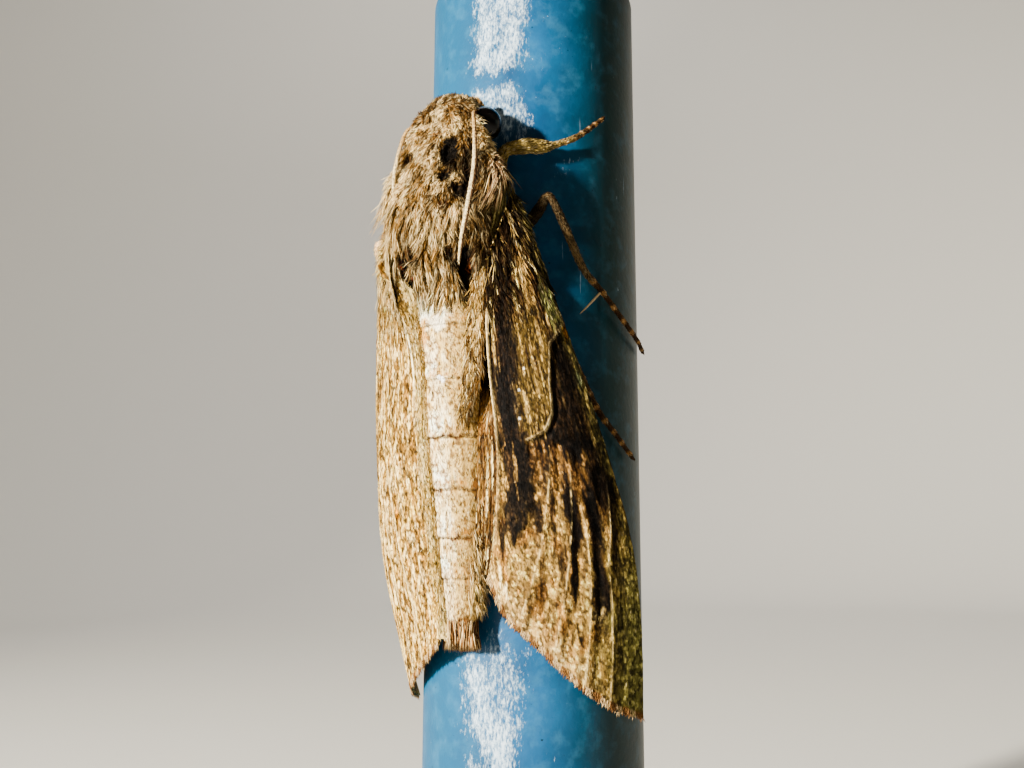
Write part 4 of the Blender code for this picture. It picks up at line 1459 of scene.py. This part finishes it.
def forewing(word, side, edges, tinting, lobed, na, nb, density, seed):
    """A forewing with shaggy hair at its root, flat scales beyond it, and its fringe."""
    surface = wing_sheet(
        "wing_fore_" + word, "forewing_" + word, side, edges, na, nb,
        lambda u, v: wing_relief(u, v, lobed) + 0.02, tinting, 0.22,
    )
    u, _ = share_grid(na, nb)
    shag = 1 - ramp(u, *SHAG)
    wing_coat("coat_wing_base_" + word, surface, tinting, shag * 34, seed, 1.0, 2)
    cover = (1 - 0.6 * shag) * density
    wing_coat("coat_wing_fore_" + word, surface, tinting, cover, seed + 2, 0.0, 1)
    fringe(word, surface, seed + 1)
    return surface


def wing_coat(name, surface, tinting, density, seed, shag, rings):
    """Flat scales on a wing, or the longer shaggy ones at its root where shag is 1."""
    rng = np.random.default_rng(seed)
    a, b = places = surface.scatter(density, seed)
    count = len(a)
    shag = shag * (1 - ramp(a, *SHAG))
    length = (0.34 + 1.1 * shag) * varied(rng, 0.2, count)
    x, y = b * CHORD, a * SPAN
    look = {
        "turn": (mixed_grain(x * 0.9, y * 0.4, seed) - 0.5) * (0.35 + 0.5 * shag)
        + rng.normal(0, 0.12, count),
        "lift": (0.06 + 0.2 * shag) * (0.4 + 1.2 * rng.random(count)),
        "bend": 0.08 + 0.12 * shag,
        "length": length,
        "width": (0.068 + 0.015 * shag) * varied(rng, 0.2, count),
        "depth": 0.025,
        "tint": pick(rng, tinting(np.clip(a + 0.4 * length / SPAN, 0, 1), b), 0.14, 0.2),
    }
    coat_piece(name, surface, places, look, "wing_scales", rings)


def fringe(word, surface, seed):
    """Fine scales fringing the outer margin, in darker and paler groups."""
    rng = np.random.default_rng(seed)
    count = 1500
    b = rng.random(count)
    a = 1.0 - 0.012 * rng.random(count)
    check = ramp(0.5 + 0.5 * np.sin(b * CHECKS * 2 * np.pi), 0.4, 0.6)
    tone = blend_in(plain("#B4966A", b), check, "#6E4A26") * varied(rng, 0.25, count)[:, None]
    look = {
        "turn": rng.normal(0, 0.2, count), "lift": rng.normal(-0.05, 0.12, count), "bend": 0.0,
        "length": 0.45 * varied(rng, 0.2, count), "width": 0.1, "depth": 0.03,
        "tint": np.clip(tone, 0, 0.95),
    }
    coat_piece("fringe_" + word, surface, (a, b), look, "wing_scales")


def hind_tint(u, v):
    return blend_in(plain("#8A5A38", u), mixed_grain(v * 30, u * 8, 97) * 0.6, "#54351E")


def hindwing(word, side, seed):
    """A plain brown hindwing, pleated like a fan, all but hidden under the forewing."""
    surface = wing_sheet(
        "wing_hind_" + word, "hindwing_" + word, side, HIND_WING, 140, 50,
        lambda u, v: 0.1 + 0.08 * np.sin(v * 7 * np.pi), hind_tint, 0.2,
    )
    wing_coat("coat_wing_hind_" + word, surface, hind_tint, 26.0, seed, 0.0, 1)


wing_finish = scaled_skin("dust_scaled_wing", 0.7, 0.12, 0.06)
right_surface = forewing(
    "r", 1, RIGHT_WING, right_wing_tint, lobed=True, na=360, nb=130, density=78, seed=201,
)
left_surface = forewing(
    "l", -1, LEFT_WING, left_wing_tint, lobed=False, na=320, nb=110, density=70, seed=205,
)
hindwing("r", 1, 211)
hindwing("l", -1, 213)


# ---------------------------------------------------------------- between wings and abdomen

def skin_line(turns, alongs, rise):
    """Points over the skin at turns in degrees and places along, raised by some millimetres."""
    table = skin_alongs[::-1, 0]
    a = np.interp(alongs, table, np.linspace(1, 0, len(table)))
    b = (np.asarray(turns, float) + 180) / 360
    normal = unit(skin_surface.at(skin_surface.normals, a, b))
    return skin_surface.at(skin_surface.points, a, b) + normal * np.asarray(rise)[..., None] * MM


def web(name, outer, inner, sag, tinting, outside, nb, pleats):
    """A thin sheet between two lines of points, sagging by some millimetres between them."""
    b = np.linspace(0, 1, nb)
    sheet = outer[:, None] * (1 - b[None, :, None]) + inner[:, None] * b[None, :, None]
    flat = Surface(sheet, np.array(outside))
    u, v = share_grid(*sheet.shape[:2])
    depth = np.asarray(sag)[:, None] * np.sin(np.pi * v)
    pleat = pleats * np.sin(v * 9 * np.pi + 3 * grain(u * 4, v * 2, 5)) * np.sin(np.pi * v)
    surface = Surface(flat.raised(pleat - depth), np.array(outside))
    mesh = surface_mesh(name, surface, tinting(u, v))
    thicken(new_piece(name, mesh, wing_finish, "wing_scales"), 0.12)
    return surface


def fold_tint(u, v):
    """The fold behind the right wing: painted black in its depth as shade, then dark brown with
    pale hairs.
    """
    x, y = v * 3.0, u * 18.0
    tone = mottled(plain("#7E5C32", u), x, y, 4.0, 0.3, 111, 0.3, 0.6, 0.9, "#3A230F")
    tone = mottled(tone, x, y, 4.4, 0.35, 113, 0.55, 0.7, 0.85, "#E2C890")
    # Black in the fold's depth: painted shade.
    tone = blend_in(tone, (1 - ramp(u, 0.3, 0.42)) * 0.97, "#100703")
    tone = blend_in(tone, hump(u, 0.46, 0.05) * 0.4, "#6A4222")
    return richer(peppered(tone, x, y, 115, 0.6, 0.4), 1.3, 1.2, 0.45)


def hem_tint(u, v):
    """The left wing's inner margin where it comes down on the abdomen."""
    tone = mottled(plain("#CBA868", u), v, u, 4, 14, 118, 0.4, 0.65, 0.7, "#EBD29A")
    tone = blend_in(tone, hump(v, 0.12, 0.1) * 0.5, "#8A6230")
    shaded = (1 - ramp(u, 0.1, 0.2)) * ramp(mixed_grain(v * 3, u * 20, 121), 0.4, 0.65)
    tone = blend_in(tone, shaded * 0.6, "#5A3A1A")
    return richer(peppered(tone, v * 2, u * 32, 117, 0.8, 0.4), 1.4, 1.25, 0.55)


def fan_tint(u, v):
    """Hair in brown and tawny strands, darker at both ends."""
    stripe = ramp(grain(v * 11, u * 1.2, 119), 0.4, 0.6)
    tone = blend_in(plain("#C09C60", u), stripe * 0.9, "#4E3016")
    tone = blend_in(tone, (1 - ramp(u, 0.1, 0.3)) * 0.4, "#5E3A18")
    return richer(blend_in(tone, ramp(u, 0.7, 1.0) * 0.4, "#2A170A"), 1.2, 1.2, 0.45)


def cover_tint(u, v):
    """The thorax's own straw and brown, for the hair that runs on over the wing's root."""
    tone = mottled(plain("#BE9E66", u), v, u, 9, 2, 123, 0.4, 0.65, 0.8, "#6C4A28")
    tone = mottled(tone, v, u, 12, 3, 125, 0.5, 0.7, 0.7, "#EBD29C")
    return richer(tone, 1.35, 1.15, 0.5)


def flat_tufts(name, surface, density, length, width, tinting, seed, lift=0.08):
    """Hair or scales lying nearly flat on a sheet."""
    rng = np.random.default_rng(seed)
    a, b = places = surface.scatter(density, seed)
    count = len(a)
    look = {
        "turn": rng.normal(0, 0.22, count), "lift": lift * (0.4 + 1.2 * rng.random(count)),
        "bend": lift, "length": length * varied(rng, 0.25, count),
        "width": width * varied(rng, 0.2, count), "depth": width * 0.35,
        "tint": pick(rng, tinting(a, b), 0.25, 0.2),
    }
    coat_piece(name, surface, places, look, "wing_scales")


def hind_fold():
    """The fold that fills the hollow between the abdomen and the right wing."""
    shares = np.linspace(0.08, 0.985, 150)
    outer = right_surface.at(right_surface.points, shares, np.full(150, 0.995))
    outer = outer + np.array((0.0, 0.3, 0.0)) * MM
    alongs = outer[:, 2] / MM - MID_BODY - 0.3
    turns = 74 - 4 * ramp(-alongs, 1.0, 7.0)
    inner = skin_line(turns, alongs, np.full(150, 0.06))
    sag = 1.1 * (1 - ramp(-alongs, 2.0, 6.5)) + 0.1
    surface = web(
        "wing_hind_fold_r", outer, inner, sag, fold_tint, (0.5, -0.8, 0.0), nb=26, pleats=0.025,
    )
    flat_tufts("coat_fold_r", surface, 34, 0.5, 0.08, fold_tint, 221)


def left_hem():
    """The left wing's inner margin, carried down onto the abdomen so that no gap shows."""
    shares = np.linspace(0.0, 0.985, 170)
    outer = left_surface.at(left_surface.points, shares, np.ones(170))
    alongs = outer[:, 2] / MM - MID_BODY
    turn = np.degrees(np.arctan2(outer[:, 0] / MM, -outer[:, 1] / MM - spine(alongs)))
    turn = turn + 4 * ramp(shares, 0.15, 0.3)
    inner = skin_line(turn, alongs, 0.03 - 0.25 * (1 - ramp(shares, 0.1, 0.3)))
    sag = np.full(170, -0.08)
    surface = web(
        "wing_hem_l", outer, inner, sag, hem_tint, (0.5, -0.9, 0.0), nb=16, pleats=0.01,
    )
    flat_tufts("coat_hem_l", surface, 45, 0.35, 0.07, hem_tint, 223)


# The two edges of the fan of hair, as x, height and along.
FAN_NEAR = ((4.9, 15.2, 7.6), (4.6, 15.75, 5.2), (4.4, 15.5, 1.8), (4.0, 15.2, -1.6),
            (3.0, 15.25, -4.6))
FAN_FAR = ((3.4, 15.6, 7.6), (3.6, 16.15, 5.2), (3.1, 16.15, 2.0), (2.6, 15.95, -1.8),
           (2.1, 15.6, -5.6))


def hair_fan():
    """Long hair from the thorax's rear corner, lying across the hollow onto the abdomen."""
    near, far = (along_curve(edge, np.linspace(0, 1, 80)) for edge in (FAN_NEAR, FAN_FAR))
    b = np.linspace(0, 1, 16)
    sheet = world(near[:, None] * (1 - b[None, :, None]) + far[:, None] * b[None, :, None])
    surface = Surface(sheet, np.array((0.4, -0.9, 0.0)))
    flat_tufts("coat_fan_r", surface, 105, 1.05, 0.075, fan_tint, 225)


def root_cover():
    """Hair bridging the thorax's left flank and the root of the left wing."""
    na, nb = 60, 24
    a, b = np.linspace(0, 1, na)[:, None, None], np.linspace(0, 1, nb)
    outside = np.array((-0.7, -0.7, 0.0))
    near = skin_line(-54 - 44 * b, np.full(nb, 11.8), np.full(nb, 0.3))
    place = (np.full(nb, 0.15), 0.99 - 0.72 * b)
    outward = unit(left_surface.at(left_surface.normals, *place))
    far = left_surface.at(left_surface.points, *place) + outward * 0.12 * MM
    flat = Surface(near[None] * (1 - a) + far[None] * a, outside)
    u, _ = share_grid(na, nb)
    surface = Surface(flat.raised(0.45 * np.sin(np.pi * u)), outside)
    flat_tufts("coat_root_cover_l", surface, 100, 1.1, 0.075, cover_tint, 241, 0.12)


def shoulder_hair():
    """Long hair from the thorax's flanks, lying back over the roots of the wings."""
    rng = np.random.default_rng(231)
    turns, alongs = skin_turns, skin_alongs
    left = ramp(-turns, 34, 48) * ramp(100 + turns, 0, 12) * ramp(-alongs, -15.5, -13.5)
    right = ramp(turns, 66, 76) * ramp(118 - turns, 0, 12)
    reach = ramp(alongs, 5.2, 6.0) * ramp(-alongs, -16.5, -15.5)
    rear = ramp(alongs, 4.9, 5.4) * ramp(-alongs, -7.4, -6.4)
    rear = rear * ramp(80 - np.abs(turns + 20), 0, 10)
    bare = 1 - 0.9 * np.clip(dents(turns, alongs) / 0.1, 0, 1)
    cover = (reach * (left * 1.5 + right) * 30 + rear * 34) * bare
    places, turn, along = skin_places(cover, 231)
    gather, mine, own = locks(skin_surface, places, 232, 1.6, 0.5)
    tint = pick(rng, body_tint(turn, along - 1.2), 0.3, 0.25)
    tint = blend_in(tint, ramp(turn, 78, 95) * 0.7, "#5C5426")
    crossing = sum(dents(turn, along - ahead) for ahead in (0.4, 1.0, 1.7, 2.4))
    crossing = np.clip(crossing / 0.25, 0, 1)
    look = {
        "turn": gather + (own[mine, 1] - 0.5) * 0.5 - 0.12 * np.sign(turn),
        "lift": np.where(turn > 0, 0.2, 0.27) * (0.5 + own[mine, 2])
        * (1 - 0.5 * ramp(-turn, 60, 85)),
        "bend": np.where(turn > 0, 0.3, 0.32),
        "length": 2.6 * varied(rng, 0.2, len(turn)) * (1 - 0.75 * crossing),
        "width": 0.085, "depth": 0.035,
        "tint": tint * (0.6 + 0.7 * own[mine, 0])[:, None],
    }
    coat_piece("coat_shoulders", skin_surface, places, look, "scaled_body")


hind_fold()
left_hem()
hair_fan()
root_cover()
shoulder_hair()


# ---------------------------------------------------------------- pole and stand

def round_piece(name, node, sides, edge, finish, slot):
    """A turned round piece the size of its CAD solid, with rounded rims."""
    low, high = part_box(node)
    radius = (high.x - low.x) / 2
    bm = bmesh.new()
    bmesh.ops.create_cone(
        bm, cap_ends=True, segments=sides, radius1=radius, radius2=radius,
        depth=high.z - low.z, matrix=Matrix.Translation((0.0, 0.0, (low.z + high.z) / 2)),
    )
    rims = [e for e in bm.edges if abs(e.verts[0].co.z - e.verts[1].co.z) < 1e-6]
    bmesh.ops.bevel(
        bm, geom=rims, offset=edge * MM, segments=4, profile=0.5, affect="EDGES", material=-1,
    )
    mesh = finished_mesh(name, bm)
    mesh.set_sharp_from_angle(angle=math.radians(40))
    new_piece(name, mesh, finish, slot, node)


paint = worn_paint()
powder = powder_coat()
round_piece("painted_pole", "perch_pole", 128, 0.5, paint, "blue_paint")
round_piece("display_base", "stand_base", 160, 0.8, powder, "stand_grey")
round_piece("display_rod", "stand_rod", 48, 0.2, powder, "stand_grey")


# ---------------------------------------------------------------- studio

def direction(azimuth, elevation):
    """The way from the middle towards an azimuth and an elevation in degrees."""
    turn, rise = math.radians(azimuth), math.radians(elevation)
    level = math.cos(rise)
    return Vector((math.sin(turn) * level, -math.cos(turn) * level, math.sin(rise)))


def in_scene(obj):
    bpy.context.scene.collection.objects.link(obj)
    return obj


def studio():
    """A pale round floor that curves up into a wall all the way round."""
    reach, rise, bend, steps = 1.0, 1.3, 0.45, 16
    flat = reach - bend
    profile = [Vector((0, 0, 0)), Vector((flat, 0, 0))]
    for step in range(1, steps + 1):
        turn = math.pi / 2 * step / steps
        profile.append(Vector((flat + bend * math.sin(turn), 0, bend - bend * math.cos(turn))))
    profile.append(Vector((reach, 0, rise)))
    bm = bmesh.new()
    verts = [bm.verts.new(point) for point in profile]
    edges = [bm.edges.new(pair) for pair in zip(verts, verts[1:])]
    bmesh.ops.spin(
        bm, geom=verts + edges, cent=(0, 0, 0), axis=(0, 0, 1), angle=math.tau, steps=96,
        use_merge=True,
    )
    bmesh.ops.remove_doubles(bm, verts=bm.verts, dist=1e-5)
    bmesh.ops.recalc_face_normals(bm, faces=bm.faces)
    bmesh.ops.reverse_faces(bm, faces=bm.faces)
    mesh = finished_mesh("studio_bowl", bm)
    mesh.materials.append(studio_paper())
    in_scene(bpy.data.objects.new("studio_bowl", mesh))


THORAX = (0.0, 0.0, 0.055)


def lamp(name, azimuth, elevation, distance, size, power, colour, spread, aim=THORAX):
    """A round lamp some metres from the thorax, of a size in metres and a power in watts."""
    data = bpy.data.lights.new(name, "AREA")
    data.shape = "DISK"
    data.size = size
    data.energy = power
    data.color = colour
    data.spread = math.radians(spread)
    obj = in_scene(bpy.data.objects.new(name, data))
    obj.location = Vector(THORAX) + direction(azimuth, elevation) * distance
    obj.rotation_euler = (obj.location - Vector(aim)).to_track_quat("Z", "Y").to_euler()


def camera():
    """Level with the moth and below it, looking up a little, its right side turned to view."""
    azimuth, fall, distance = 30.0, -9.4, 0.0958
    lens, film, wide, off_centre = 35.0, 36.0, 1024, 21
    place = Vector((0, 0, MID_BODY * MM)) + direction(azimuth, fall) * distance
    ahead = -direction(azimuth, fall)
    right = Vector((math.cos(math.radians(azimuth)), math.sin(math.radians(azimuth)), 0.0))
    swing = math.atan(off_centre / (lens / film * wide))
    facing = ahead * math.cos(swing) - right * math.sin(swing)
    side = right * math.cos(swing) + ahead * math.sin(swing)
    up = side.cross(facing)
    data = bpy.data.cameras.new("camera")
    data.lens = lens
    data.sensor_width = film
    data.clip_start = 0.001
    obj = in_scene(bpy.data.objects.new("camera", data))
    obj.matrix_world = Matrix.LocRotScale(
        place, Matrix((side, up, -facing)).transposed(), None,
    )
    bpy.context.scene.camera = obj


def surroundings():
    """A breath of cool light from all round."""
    sky = bpy.data.worlds.new("studio_air")
    sky.use_nodes = True
    back = sky.node_tree.nodes["Background"]
    back.inputs["Color"].default_value = (0.92, 0.95, 1.0, 1.0)
    back.inputs["Strength"].default_value = 0.03
    bpy.context.scene.world = sky


studio()
lamp("key", -18.0, 6.0, 0.55, 0.04, 4.0, (1.0, 0.94, 0.79), 70.0)
lamp("fill", 118.0, 10.0, 0.8, 0.4, 0.07, (0.6, 1.0, 0.85), 120.0)
lamp("backdrop", 210.0, 60.0, 1.0, 0.6, 4.5, (1.0, 0.97, 0.93), 150.0, (-0.35, 0.6, 0.1))
camera()
surroundings()
